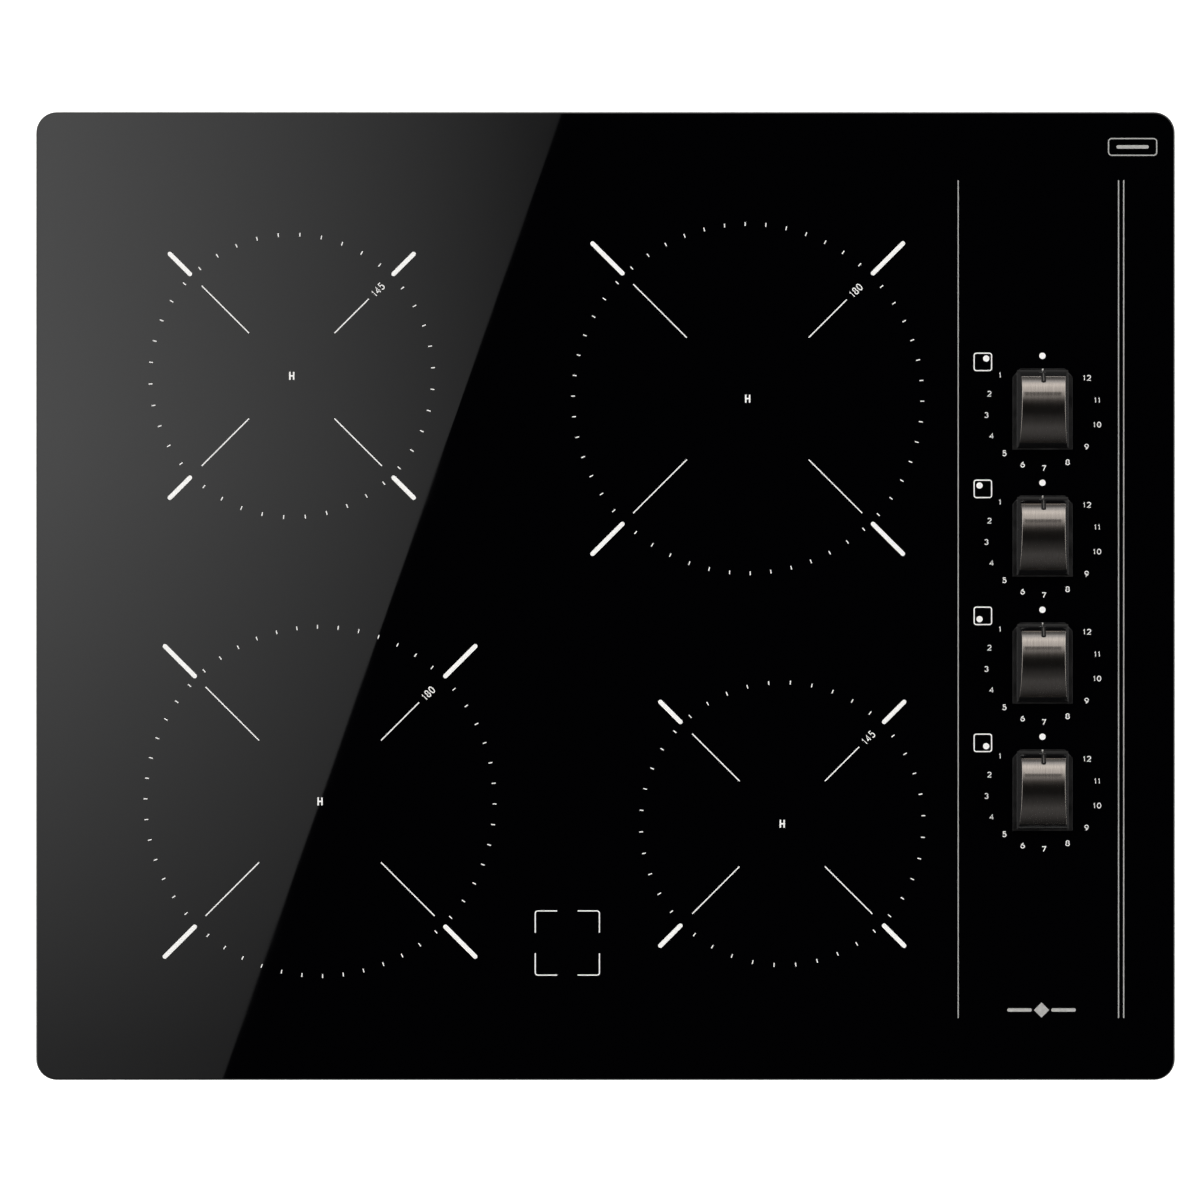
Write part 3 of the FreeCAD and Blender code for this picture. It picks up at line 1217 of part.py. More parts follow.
def indicator_lamps():
    """Four lamps, one for each zone, just under the window marks on the glass."""
    lamps = []
    low = "(board_thick-lamp_board_drop)"
    for x in ("-", "+"):
        for y in ("-", "+"):
            lamps.append(cylinder("indicator_lamp", f"lamp_x{x}lamp_pitch/2", f"lamp_y{y}lamp_pitch/2", low,
                                  "lamp_radius", f"glass_under-lamp_gap-{low}"))
    group("indicator_lamps", lamps)


def arch(sketch, lift, closed_at):
    """The side line of the grip, lifted by lift and closed to an outline at the height closed_at.

    Two arcs meet at the crest with one tangent: a long one that falls to the blunt end and a tight one
    that falls to the pointer end, where a straight line carries it on.
    """
    crest, tail = "(glass_top+crest_high)", "(0-grip_front-arch_past)"
    back, nose = f"(back_radius+({lift}))", f"(nose_radius+({lift}))"
    back_centre, nose_centre = f"({crest}-back_radius)", f"({crest}-nose_radius)"
    nose_y = f"crest_y+{nose}*cos(nose_angle)"
    nose_z = f"{nose_centre}+{nose}*sin(nose_angle)"
    far_y, far_z = f"{nose_y}+nose_radius*sin(nose_angle)", f"{nose_z}-nose_radius*cos(nose_angle)"
    tail_z = f"{back_centre}+sqrt({back}^2-(crest_y-{tail})^2)"
    middle, turn = value("crest_y"), Vector(0, 0, 1)
    nose_circle = Part.Circle(Vector(middle, value(nose_centre), 0), turn, value(nose))
    back_circle = Part.Circle(Vector(middle, value(back_centre), 0), turn, value(back))
    tail_angle = math.atan2(value(tail_z) - value(back_centre), value(tail) - middle)
    first = sketch.GeometryCount
    sketch.addGeometry(Part.ArcOfCircle(nose_circle, math.radians(value("nose_angle")), math.pi / 2))
    sketch.addGeometry(Part.ArcOfCircle(back_circle, math.pi / 2, tail_angle))
    corners = [(tail, tail_z), (tail, closed_at), (far_y, closed_at), (far_y, far_z), (nose_y, nose_z)]
    points = [Vector(value(y), value(z), 0) for y, z in corners]
    for start, end in zip(points, points[1:]):
        sketch.addGeometry(Part.LineSegment(start, end))
    count = len(corners) + 1
    for index in range(count):
        after = first + (index + 1) % count
        sketch.addConstraint(Sketcher.Constraint("Coincident", first + index, 2, after, 1))
    pin_point(sketch, first, 3, "crest_y", nose_centre)
    pin_point(sketch, first, 2, "crest_y", f"{crest}+({lift})")
    pin_point(sketch, first, 1, nose_y)
    pin_point(sketch, first + 1, 3, "crest_y", back_centre)
    pin_point(sketch, first + 1, 2, tail)
    for index, (y, z) in enumerate(corners[1:4]):
        pin_point(sketch, first + 2 + index, 2, y, z)
    return sketch


def grip_block(body, low):
    """The tapered block that the grip is cut from."""
    middle, long = "(grip_nose-grip_front)/2", "(grip_nose+grip_front)"
    foot = rectangle(new_sketch(body, offset=low), "0", middle, "2*grip_half_wide", long)
    pad(body, foot, f"glass_top+crest_high+overrun-{low}", taper="grip_taper")


def under_arch(body, lift):
    """Cuts off what stands above the arch."""
    cut(body, arch(new_sketch(body, "YZ_Plane"), lift, "(glass_top+2*crest_high)"), both=True)


def over_arch(body, lift):
    """Cuts off what lies below the arch."""
    cut(body, arch(new_sketch(body, "YZ_Plane"), lift, "(glass_top-crest_high)"), both=True)


def at_dial(body, place):
    """Puts a piece, made about its own shaft, at its place in the row of controls."""
    move(body, "dial_x", dial_y(place))


def control_shaft(number, place):
    """A control shaft: round in its potentiometer, with a flat where the knob sits on it."""
    body = new_body(f"control_shaft_{number}")
    low, top = "(pot_under+pot_floor+running_gap)", "(glass_top+shaft_end_high)"
    pad(body, circle(new_sketch(body, offset=low), "0", "0", "shaft_radius"), f"{top}-{low}")
    flat = new_sketch(body, offset=top)
    rectangle(flat, "shaft_flat+shaft_radius", "0", "2*shaft_radius", "3*shaft_radius")
    cut(body, flat, "shaft_end_high-shaft_flat_start")
    at_dial(body, place)


def knob_body(number, place):
    """A moulded knob: a plinth, a tapered grip under an arch, a hollow and a hub with a D-shaped bore."""
    body = new_body(f"knob_body_{number}")
    side, front, nose = "knob_half_wide", "0-knob_front", "knob_nose"
    corner_x, corner_y = "(knob_half_wide-knob_cut_wide)", "knob_nose-knob_cut_long"
    plinth = new_sketch(body, offset="knob_under")
    polygon(plinth, [(f"0-{side}", front), (side, front), (side, corner_y), (corner_x, nose),
                     (f"0-{corner_x}", nose), (f"0-{side}", corner_y)])
    pad(body, plinth, "plinth_high")
    round_edges(body, "plinth_round", level_at("plinth_top"))
    grip_block(body, "grip_foot")
    under_arch(body, "0-face_thick")
    middle, long = "(grip_nose-grip_front)/2", "(grip_nose+grip_front-2*knob_wall)"
    hollow = new_sketch(body, offset="knob_under")
    rectangle(hollow, "0", middle, "2*(grip_half_wide-knob_wall)", long)
    circle(hollow, "0", "0", "hub_radius")
    cut(body, hollow, "knob_hollow", flip=True)
    bore = new_sketch(body, offset="knob_under")
    shaft_bore(bore)
    cut(body, bore, "shaft_end_high", flip=True)
    at_dial(body, place)


def shaft_bore(sketch):
    """The D of a knob's bore: a circle cut by a flat, with room there for the spring clip."""
    radius, flat = "(shaft_radius+bore_gap)", "(shaft_flat+clip_thick+2*bore_gap)"
    half = f"sqrt({radius}^2-{flat}^2)"
    angle = math.atan2(value(half), value(flat))
    round_side = Part.Circle(Vector(0, 0, 0), Vector(0, 0, 1), value(radius))
    first = sketch.GeometryCount
    sketch.addGeometry(Part.ArcOfCircle(round_side, angle, 2 * math.pi - angle))
    low, high = Vector(value(flat), -value(half), 0), Vector(value(flat), value(half), 0)
    sketch.addGeometry(Part.LineSegment(low, high))
    sketch.addConstraint(Sketcher.Constraint("Coincident", first, 2, first + 1, 1))
    sketch.addConstraint(Sketcher.Constraint("Coincident", first + 1, 2, first, 1))
    pin_point(sketch, first, 3, "0", "0")
    pin_point(sketch, first + 1, 1, flat, f"0-{half}")
    pin_point(sketch, first + 1, 2, flat)


def pointer_slot(sketch, gap, past="0"):
    """The outline of the pointer inlay with a clearance all round, and carried on past its outer end."""
    middle = f"pointer_start+(pointer_long+{past})/2"
    return rectangle(sketch, "0", middle, f"pointer_wide+2*({gap})", f"pointer_long+{past}+2*({gap})")


def knob_face(number, place):
    """The brushed metal strip over the arch of a knob, with a slot for its pointer, open at that end."""
    body = new_body(f"knob_face_{number}")
    grip_block(body, "grip_foot")
    under_arch(body, "0")
    over_arch(body, "0-face_thick")
    top = new_sketch(body, offset="glass_top+crest_high+overrun")
    cut(body, pointer_slot(top, "pointer_gap", "2*overrun"))
    at_dial(body, place)


def knob_pointer(number, place):
    """The pointer inlay at one end of a knob, a little proud of the metal."""
    body = new_body(f"knob_pointer_{number}")
    foot = new_sketch(body, offset="plinth_top")
    pad(body, pointer_slot(foot, "0"), "crest_high")
    under_arch(body, "pointer_gap")
    over_arch(body, "0-face_thick")
    at_dial(body, place)


def knob_clip(number, place):
    """The spring steel leaf between the flats of the shaft and of the knob's bore."""
    body = new_body(f"knob_clip_{number}")
    leaf = new_sketch(body, offset="glass_top+shaft_end_high-clip_inset-clip_long")
    rectangle(leaf, "shaft_flat+bore_gap+clip_thick/2", "0", "clip_thick", "clip_wide")
    pad(body, leaf, "clip_long")
    at_dial(body, place)


glass_plate()
worktop_seal()
adhesive_bead()
support_frame()
bottom_tray()
side_screws()
fixing_springs()
for zone in ZONES:
    mica_disc(zone)
    coil_winding(zone)
    coil_former(zone)
ferrite_bars()
coil_carrier("left")
coil_carrier("right")
carrier_springs()
temperature_sensors()
power_board()
heat_sink()
board_parts()
fan_housing()
fan_rotor()
wiring()
terminal_box()
terminal_cover()
terminal_block()
inlet_bush()
control_bracket()
potentiometers()
control_board()
shaft_seals()
indicator_board()
indicator_lamps()
for number, place in CONTROLS.items():
    control_shaft(number, place)
    knob_body(number, place)
    knob_face(number, place)
    knob_pointer(number, place)
    knob_clip(number, place)
doc.recompute()

# ---------------------------------------------------------------------------------------------------
# Checks and export: one STEP file for each sub-part
# ---------------------------------------------------------------------------------------------------
grouped = {piece.Name for thing in doc.Objects if thing.TypeId == "Part::Compound" for piece in thing.Links}
nodes = [thing for thing in doc.Objects if thing.Name not in grouped
         and thing.TypeId in ("PartDesign::Body", "Part::Compound", "Part::Feature")]
for thing in doc.Objects:
    if "Invalid" in thing.State or "Error" in thing.State:
        raise ValueError(f"{thing.Label} could not be made: {thing.State}")
for node in nodes:
    if node.Shape.isNull() or not node.Shape.isValid():
        raise ValueError(f"{node.Label} has no valid shape")

os.makedirs("parts", exist_ok=True)
for node in nodes:
    node.Shape.exportStep(f"parts/{node.Label}.step")
    size = node.Shape.optimalBoundingBox()
    print(f"{node.Label}: {len(node.Shape.Solids)} solid(s), "
          f"x {size.XMin:.1f} to {size.XMax:.1f}, y {size.YMin:.1f} to {size.YMax:.1f}, "
          f"z {size.ZMin:.1f} to {size.ZMax:.1f}")
print(f"{len(nodes)} sub-parts")
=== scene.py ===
# %% [markdown]
# # A built-in electric cooktop
# A plate of black glass ceramic, 600 mm wide, lies on a kitchen worktop. White marks are fired onto it,
# four rotary controls stand at its right, and a steel tray with the coils hangs below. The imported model
# already holds every part at its true size and place, so this file adds what the eye reads: the gloss of
# the glass, the print, the soft edges of the knobs and a finish for each part. Each step says first what
# the real thing is, and then why it is made the way it is.

# %% Load the frame
import json
import math

import bmesh
import bpy
import numpy as np
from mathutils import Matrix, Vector
from mathutils.geometry import tessellate_polygon


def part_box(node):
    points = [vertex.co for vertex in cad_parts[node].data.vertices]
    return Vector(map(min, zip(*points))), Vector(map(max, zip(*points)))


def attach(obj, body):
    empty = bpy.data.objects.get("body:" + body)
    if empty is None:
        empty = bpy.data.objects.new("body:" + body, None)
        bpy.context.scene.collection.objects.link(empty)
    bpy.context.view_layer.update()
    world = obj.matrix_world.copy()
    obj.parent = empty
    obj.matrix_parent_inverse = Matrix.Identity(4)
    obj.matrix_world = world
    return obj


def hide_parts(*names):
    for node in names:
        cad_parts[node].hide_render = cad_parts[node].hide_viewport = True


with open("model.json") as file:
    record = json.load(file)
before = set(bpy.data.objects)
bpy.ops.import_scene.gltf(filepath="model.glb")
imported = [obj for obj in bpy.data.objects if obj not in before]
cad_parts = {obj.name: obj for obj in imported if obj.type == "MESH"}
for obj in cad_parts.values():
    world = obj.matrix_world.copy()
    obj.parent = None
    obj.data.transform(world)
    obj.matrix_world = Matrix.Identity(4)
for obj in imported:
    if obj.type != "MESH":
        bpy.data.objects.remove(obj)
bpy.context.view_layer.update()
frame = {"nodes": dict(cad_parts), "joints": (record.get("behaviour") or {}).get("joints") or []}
MM = 0.001


# %% [markdown]
# ## Where things are
# Every place comes from the frame: the glass gives the level of the print, the mica sheets under the
# glass give the middle and size of each cooking zone, and the joints give the axes of the controls.
# A zone's pan mark lies half a millimetre inside its mica sheet.


# %% Places read from the frame
def corners_of(node):
    """The low and the high corner of a node's box."""
    low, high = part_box(node)
    return np.array(low), np.array(high)


def middle(node):
    """The middle of a node's box: half the sum of its corners."""
    low, high = corners_of(node)
    return (low + high) / 2


def half_size(node):
    """Half the size of a node's box: half the difference of its corners."""
    low, high = corners_of(node)
    return (high - low) / 2


ZONES = ("rear_left", "rear_right", "front_left", "front_right")
GLASS_LOW, GLASS_TOP = (corner[2] for corner in corners_of("glass_plate"))
TRAY_LOW = corners_of("bottom_tray")[0][2]
DIALS = {joint["child"]: np.array(joint["pos_m"]) for joint in frame["joints"] if "knob" in joint["name"]}
MARK_RADIUS = {zone: half_size(f"mica_disc_{zone}")[0] - 0.5 * MM for zone in ZONES}
print({body: (place / MM).round(1).tolist() for body, place in DIALS.items()})

# %% [markdown]
# ## Camera
# The cooktop is seen from straight above, and so nearly without perspective that the camera has to stand
# far away behind a long lens. A lens of 400 mm on a 36 mm sensor sees 632 mm at about 7 m.

# %% The camera
LENS, SENSOR, VIEW_WIDE = 400.0, 36.0, 632.2 * MM
CAMERA_X, CAMERA_Y = -2.9 * MM, -2.1 * MM
CAMERA_HIGH = VIEW_WIDE * LENS / SENSOR

lens = bpy.data.cameras.new("camera")
lens.lens, lens.sensor_width = LENS, SENSOR
lens.clip_start, lens.clip_end = 0.1, 50.0
camera = bpy.data.objects.new("camera", lens)
camera.location = (CAMERA_X, CAMERA_Y, GLASS_TOP + CAMERA_HIGH)
bpy.context.scene.collection.objects.link(camera)
bpy.context.scene.camera = camera
bpy.context.scene.view_settings.view_transform = "Standard"
print("camera", round(CAMERA_HIGH, 2), "m above the glass")

# %% [markdown]
# ## Small tools for materials
# Colours are written as sRGB hex values, as a paint chip gives them, and Blender's shaders want linear
# light, so one function turns one into the other. A second adds a node, sets its properties and fills
# its inputs with numbers or with links. The rest are the steps that nearly every finish repeats: noise
# of a known size in the piece's own metres, and its use as colour, as gloss or as relief.


# %% Colour and node helpers
def linear(code):
    """sRGB hex to linear RGBA: a value v is v/12.92 up to 0.04045, and ((v+0.055)/1.055)^2.4 above."""
    values = np.array([int(code[i:i + 2], 16) for i in (1, 3, 5)]) / 255
    low, high = values / 12.92, ((values + 0.055) / 1.055) ** 2.4
    return (*np.where(values <= 0.04045, low, high).tolist(), 1.0)


def add(tree, kind, inputs=None, **settings):
    """Adds a node: settings are its properties, and inputs are numbers, or outputs to link from."""
    made = tree.nodes.new(kind)
    for name, setting in settings.items():
        setattr(made, name, setting)
    for name, given in (inputs or {}).items():
        if isinstance(given, bpy.types.NodeSocket):
            tree.links.new(given, made.inputs[name])
        else:
            made.inputs[name].default_value = given
    return made


def finish(name, colour, **sockets):
    """A new material: its node tree and its principled shader, with constants set on their sockets."""
    made = bpy.data.materials.new(name)
    made.use_nodes = True
    tree = made.node_tree
    shader = tree.nodes["Principled BSDF"]
    shader.inputs["Base Color"].default_value = linear(colour)
    for socket, value in sockets.items():
        shader.inputs[socket.replace("_", " ")].default_value = value
    made.diffuse_color = linear(colour)
    return made, tree, shader


def place_nodes(tree, stretch=(1.0, 1.0, 1.0)):
    """The piece's own coordinates in metres, stretched along each axis."""
    where = add(tree, "ShaderNodeTexCoord")
    mapped = add(tree, "ShaderNodeMapping", {"Vector": where.outputs["Object"], "Scale": stretch})
    return mapped.outputs["Vector"]


def noise(tree, vector, size, detail=3.0, roughness=0.5):
    """Smooth noise whose lumps are about size metres across, as its factor output."""
    made = add(tree, "ShaderNodeTexNoise", {"Vector": vector, "Scale": 1 / size, "Detail": detail,
                                            "Roughness": roughness})
    return made.outputs["Factor" if "Factor" in made.outputs else "Fac"]


def spread(tree, factor, low, high):
    """Maps a factor of 0.3 to 0.7, where noise mostly lies, onto low to high."""
    made = add(tree, "ShaderNodeMapRange", {"Value": factor, "From Min": 0.3, "From Max": 0.7,
                                            "To Min": low, "To Max": high})
    return made.outputs["Result"]


def mixed(tree, factor, first, second):
    """A colour between two hex colours, by a factor."""
    made = add(tree, "ShaderNodeMix", data_type="RGBA")
    tree.links.new(factor, made.inputs["Factor"])
    made.inputs["A"].default_value = linear(first)
    made.inputs["B"].default_value = linear(second)
    return made.outputs["Result"]


def tinted(tree, shader, factor, first, second):
    """Makes the base colour a mix of two hex colours, by a factor."""
    tree.links.new(mixed(tree, factor, first, second), shader.inputs["Base Color"])


def glossed(tree, shader, factor, low, high):
    """Makes the roughness follow noise, from low to high."""
    tree.links.new(spread(tree, factor, low, high), shader.inputs["Roughness"])


def relief(tree, shader, height, deep):
    """A bump of deep metres from a height factor."""
    made = add(tree, "ShaderNodeBump", {"Height": height, "Distance": deep})
    tree.links.new(made.outputs["Normal"], shader.inputs["Normal"])


def grained(tree, shader, size, deep, detail=3.0):
    """A bump of deep metres from noise of the given size in the piece's own coordinates."""
    relief(tree, shader, noise(tree, place_nodes(tree), size, detail), deep)


print("helpers ready; mid grey #808080 is", round(linear("#808080")[0], 3), "in linear light")

# %% [markdown]
# ## Small tools for meshes
# A new piece is a set of points worked out as whole numpy arrays, and faces that index them. One function
# gives the quads of a grid, and one puts several parts together. A third turns them into a mesh object that
# sits at the origin, merges what coincides, points the faces outwards and marks the edges that are sharper
# than an angle, so that round stretches shade smoothly and corners stay crisp. It also rides the piece on
# its body and gives it its material.


# %% Mesh helpers
def grid_faces(rows, columns, wrap=False, ring=False):
    """Quads over a grid of points: wrap closes the columns, and ring closes the rows too."""
    row = np.arange(rows if ring else rows - 1)[:, None]
    column = np.arange(columns if wrap else columns - 1)[None, :]
    right, below = (column + 1) % columns, (row + 1) % rows
    corners = (row * columns + column, row * columns + right,
               below * columns + right, below * columns + column)
    return np.stack([np.broadcast_to(c, (row.size, column.size)) for c in corners], axis=-1).reshape(-1, 4)


def join(parts):
    """Several (points, faces) pairs as one pair."""
    points, faces, start = [], [], 0
    for some_points, some_faces in parts:
        points.append(np.asarray(some_points, float))
        faces += [[index + start for index in face] for face in np.asarray(some_faces, object).tolist()]
        start += len(some_points)
    return np.concatenate(points), faces


def piece(name, points, faces, material, slot, body="root", replaces=(), sharp=35, merge=True):
    """A mesh object at the origin that rides on a body, with shaded edges sharper than sharp degrees."""
    mesh = bpy.data.meshes.new(name)
    mesh.from_pydata(np.asarray(points, float).tolist(), [], [list(map(int, face)) for face in faces])
    made = bpy.data.objects.new(name, mesh)
    bpy.context.scene.collection.objects.link(made)
    if merge:
        work = bmesh.new()
        work.from_mesh(mesh)
        bmesh.ops.remove_doubles(work, verts=work.verts, dist=1e-7)
        bmesh.ops.recalc_face_normals(work, faces=work.faces)
        work.to_mesh(mesh)
        work.free()
    mesh.shade_smooth()
    mesh.set_sharp_from_angle(angle=math.radians(sharp))
    mesh.materials.append(material)
    if replaces:
        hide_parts(*replaces)
    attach(made, body)
    return made


def vertex_places(mesh):
    """A mesh's vertices, one row each."""
    found = np.zeros(len(mesh.vertices) * 3, np.float32)
    mesh.vertices.foreach_get("co", found)
    return found.reshape(-1, 3)


print("mesh tools ready; a grid of 3 by 4 points has", len(grid_faces(3, 4)), "faces")

# %% [markdown]
# ## Floor and light
# A mirror shows whatever hangs above it. Seen from above, the glass mirrors only the few degrees of sky
# straight overhead, so that patch is left dark and the glass reads black. The rest of the sky is a soft
# studio whose brightness depends on the angle from straight up: bright behind the cooktop, dim in front.
# The curved metal of the knobs mirrors that whole sweep of angles in 40 mm, so it decides where their
# bright band, their dark crest and their grey front lie. Lamps could do this, but each would leave a
# hard spot on the mirror, and a sky has no edge. Bright sides light the print and the floor.

# %% Sky and floor
# degrees towards the rear: brightness
SKY_LEVELS = {-90: 0.01, -80: 0.03, -66: 0.12, -54: 0.15, -44: 0.08, -29: 0.012, -18: 0.012, -11: 0.08,
              -7: 0.36, -2: 0.8, 10: 1.2, 25: 1.4, 41: 1.8, 63: 1.05, 72: 0.4, 90: 0.12}
SKY_SIDE, SIDE_FROM, SIDE_FULL, WARM_FROM, WARM_TO = 4.3, 0.7, 0.95, -20, 50
CLEAR_FROM, CLEAR_FULL = math.cos(math.radians(5.5)), math.cos(math.radians(3.4))

world = bpy.data.worlds.new("studio")
world.use_nodes = True
sky = world.node_tree
way = add(sky, "ShaderNodeSeparateXYZ",
          {"Vector": add(sky, "ShaderNodeTexCoord").outputs["Generated"]}).outputs
angle = add(sky, "ShaderNodeMath", {0: way["Y"], 1: way["Z"]}, operation="ARCTAN2")
share = add(sky, "ShaderNodeMapRange", {"Value": angle.outputs[0], "From Min": -math.pi / 2,
                                        "From Max": math.pi / 2})
ramp = add(sky, "ShaderNodeValToRGB", {"Fac": share.outputs["Result"]})
PEAK = max(SKY_LEVELS.values())
stops = ramp.color_ramp.elements
while len(stops) < len(SKY_LEVELS):
    stops.new(0.5)
for stop, (degrees, level) in zip(stops, sorted(SKY_LEVELS.items())):
    tint = linear("#fffcf9" if WARM_FROM < degrees < WARM_TO else "#f8f9fb")
    stop.position, stop.color = (degrees + 90) / 180, [level / PEAK * part for part in tint[:3]] + [1]
arc_light = add(sky, "ShaderNodeVectorMath", {0: ramp.outputs["Color"], 1: (PEAK,) * 3},
                operation="MULTIPLY")
sideways = add(sky, "ShaderNodeMath", {0: way["X"]}, operation="ABSOLUTE")
side_level = add(sky, "ShaderNodeMapRange", {"Value": sideways.outputs[0], "From Min": SIDE_FROM,
                                             "From Max": SIDE_FULL, "To Max": SKY_SIDE})
light = add(sky, "ShaderNodeVectorMath", {0: arc_light.outputs[0], 1: side_level.outputs["Result"]},
            operation="MAXIMUM")
clear = add(sky, "ShaderNodeMapRange", {"Value": way["Z"], "From Min": CLEAR_FROM, "From Max": CLEAR_FULL,
                                        "To Min": 1.0, "To Max": 0.0})
background = sky.nodes["Background"]
sky.links.new(light.outputs[0], background.inputs["Color"])
sky.links.new(clear.outputs["Result"], background.inputs["Strength"])
bpy.context.scene.world = world

door_low, door_high = corners_of("terminal_cover")
FLOOR_HALF, FLOOR_DROP = 6.0, (door_high - door_low).max() + 10 * MM    # the open terminal door clears it
floor_paint, tree, shader = finish("matt_floor_paint", "#f4f4f2", Roughness=0.9, Emission_Strength=0.75)
shader.inputs["Emission Color"].default_value = linear("#ffffff")
floor_mesh = bpy.data.meshes.new("floor")
floor_mesh.from_pydata([(x * FLOOR_HALF, y * FLOOR_HALF, TRAY_LOW - FLOOR_DROP)
                        for x, y in ((-1, -1), (1, -1), (1, 1), (-1, 1))], [], [(0, 1, 2, 3)])
floor_mesh.materials.append(floor_paint)
floor = bpy.data.objects.new("floor", floor_mesh)
bpy.context.scene.collection.objects.link(floor)
print("floor", round(FLOOR_DROP / MM, 1), "mm below the tray")

# %% [markdown]
# One card hangs over the left of the cooktop: it is what the glass mirrors as a grey sweep with one
# straight edge. It is a grid of points with a brightness at each, so that it can fade across and along.
# A flat mirror shows a card at height h above it enlarged by 1 + h / camera height, so its outline is
# the outline wanted on the glass, drawn that much larger about the camera. It is hidden from the camera.

# %% The card that the glass mirrors
CARD_HIGH, CARD_STEPS = 3.0, 24
ENLARGED = 1 + CARD_HIGH / CAMERA_HIGH
EDGE_REAR, EDGE_FRONT = np.array([-22.9, 255]) * MM, np.array([-202, -255]) * MM
OUTER_X, OUTER_Y, EDGE_PAST = -330 * MM, 290 * MM, 0.07
BRIGHT_AT, DARK_AT, BRIGHT, DARK = -293 * MM, -28 * MM, 1.62, 0.24
FADE_FROM, FADE_TO, FADED = 77 * MM, -255 * MM, 0.26


def sweep_glow(x, y):
    """Brightness falls in a straight line from left to right, and towards the front beyond the middle."""
    across = np.clip((x - BRIGHT_AT) / (DARK_AT - BRIGHT_AT), 0, 1)
    along = np.clip((FADE_FROM - y) / (FADE_FROM - FADE_TO), 0, 1)
    return (BRIGHT + (DARK - BRIGHT) * across) * (1 - (1 - FADED) * along)


steps = np.linspace(0, 1, CARD_STEPS)
u, v = (side.ravel()[:, None] for side in np.meshgrid(steps, steps))
near_edge = EDGE_FRONT - EDGE_PAST * (EDGE_REAR - EDGE_FRONT)
far_edge = EDGE_REAR + EDGE_PAST * (EDGE_REAR - EDGE_FRONT)
on_glass = ((1 - u) * (1 - v) * np.array([OUTER_X, -OUTER_Y]) + u * (1 - v) * near_edge
            + u * v * far_edge + (1 - u) * v * np.array([OUTER_X, OUTER_Y]))
camera_spot = np.array([CAMERA_X, CAMERA_Y])
card_mesh = bpy.data.meshes.new("sweep_card")
card_mesh.from_pydata(np.column_stack([camera_spot + (on_glass - camera_spot) * ENLARGED,
                                       np.full(len(u), GLASS_TOP + CARD_HIGH)]).tolist(), [],
                      grid_faces(CARD_STEPS, CARD_STEPS).tolist())
glow = card_mesh.attributes.new("glow", "FLOAT", "POINT")
glow.data.foreach_set("value", sweep_glow(on_glass[:, 0], on_glass[:, 1]).astype(np.float32))
card_light = bpy.data.materials.new("sweep_card")
card_light.use_nodes = True
tree = card_light.node_tree
tree.nodes.clear()
power = add(tree, "ShaderNodeAttribute", attribute_name="glow")
lamp = add(tree, "ShaderNodeEmission", {"Strength": power.outputs["Fac"]})
add(tree, "ShaderNodeOutputMaterial", {"Surface": lamp.outputs[0]})
card_mesh.materials.append(card_light)
card = bpy.data.objects.new("sweep_card", card_mesh)
bpy.context.scene.collection.objects.link(card)
card.visible_camera = card.visible_shadow = card.visible_diffuse = False
print("sweep card at", CARD_HIGH, "m, drawn", round(ENLARGED, 3), "times as large")

# %% [markdown]
# ## The glass plate
# The real plate is a 4 mm sheet of black glass ceramic, cut to a rounded rectangle, with its edge ground
# round and four holes drilled for the shafts of the controls. It could be a box with a bevel and four
# boolean cuts, but booleans leave thin slivers that spoil a mirror finish. So the outline is worked out
# as rings, one for each step of the ground edge, and one call fills the flat faces around the holes.



# %% Outlines and flat faces
def rounded_rectangle(half_x, half_y, radius, steps=10):
    """A rectangle's outline with a quarter circle at each corner, anticlockwise from the right rear one."""
    angle = np.linspace(0, np.pi / 2, steps) + np.arange(4)[:, None] * np.pi / 2
    corner_x = np.array([1, -1, -1, 1])[:, None] * (half_x - radius)
    corner_y = np.array([1, 1, -1, -1])[:, None] * (half_y - radius)
    x, y = corner_x + radius * np.cos(angle), corner_y + radius * np.sin(angle)
    return np.stack([x, y], axis=-1).reshape(-1, 2)


def circle(x, y, radius, steps=48):
    """A circle's outline about x, y."""
    angle = np.arange(steps) * 2 * np.pi / steps
    return np.stack([x + radius * np.cos(angle), y + radius * np.sin(angle)], axis=1)


def at_height(outline, z):
    """A flat outline lifted to the height z."""
    return np.column_stack([outline, np.full(len(outline), z)])


def flat_face(z, *outlines):
    """Triangles that fill the first outline, apart from the holes that the others are, at the height z."""
    faces = tessellate_polygon([[Vector((x, y, 0)) for x, y in outline] for outline in outlines])
    return at_height(np.concatenate(outlines), z), faces


def wall(*rings):
    """Quads between closed rings of points that follow each other, each ring an (n, 3) array."""
    return np.concatenate(rings), grid_faces(len(rings), len(rings[0]), wrap=True)


def slab(low, high, *outlines):
    """A flat plate between two heights, with the first outline as its edge and the others as holes."""
    sides = [wall(at_height(outline, low), at_height(outline, high)) for outline in outlines]
    return join([flat_face(low, *outlines), flat_face(high, *outlines), *sides])


print("a slab with one square edge has", len(slab(0, 1, circle(0, 0, 1, 4))[1]), "faces")

# %% [markdown]
# Glass ceramic is nearly a perfect mirror: its only texture is a faint waviness left by the rollers and
# thin wipe marks that change the gloss a little. The edge is ground, so it is duller: nearly black from
# above, with a soft line of light on it from the side.

# %% The glass plate
glass_polish, tree, shader = finish("polished_black_glass_ceramic", "#020203", IOR=1.52)
where = place_nodes(tree)
glossed(tree, shader, noise(tree, where, 70 * MM, 4), 0.005, 0.015)
relief(tree, shader, noise(tree, where, 45 * MM, 1), 0.002 * MM)

ground_glass, tree, shader = finish("ground_glass_edge", "#0b0b0c", Roughness=0.3, IOR=1.52)
grained(tree, shader, 0.6 * MM, 0.03 * MM)

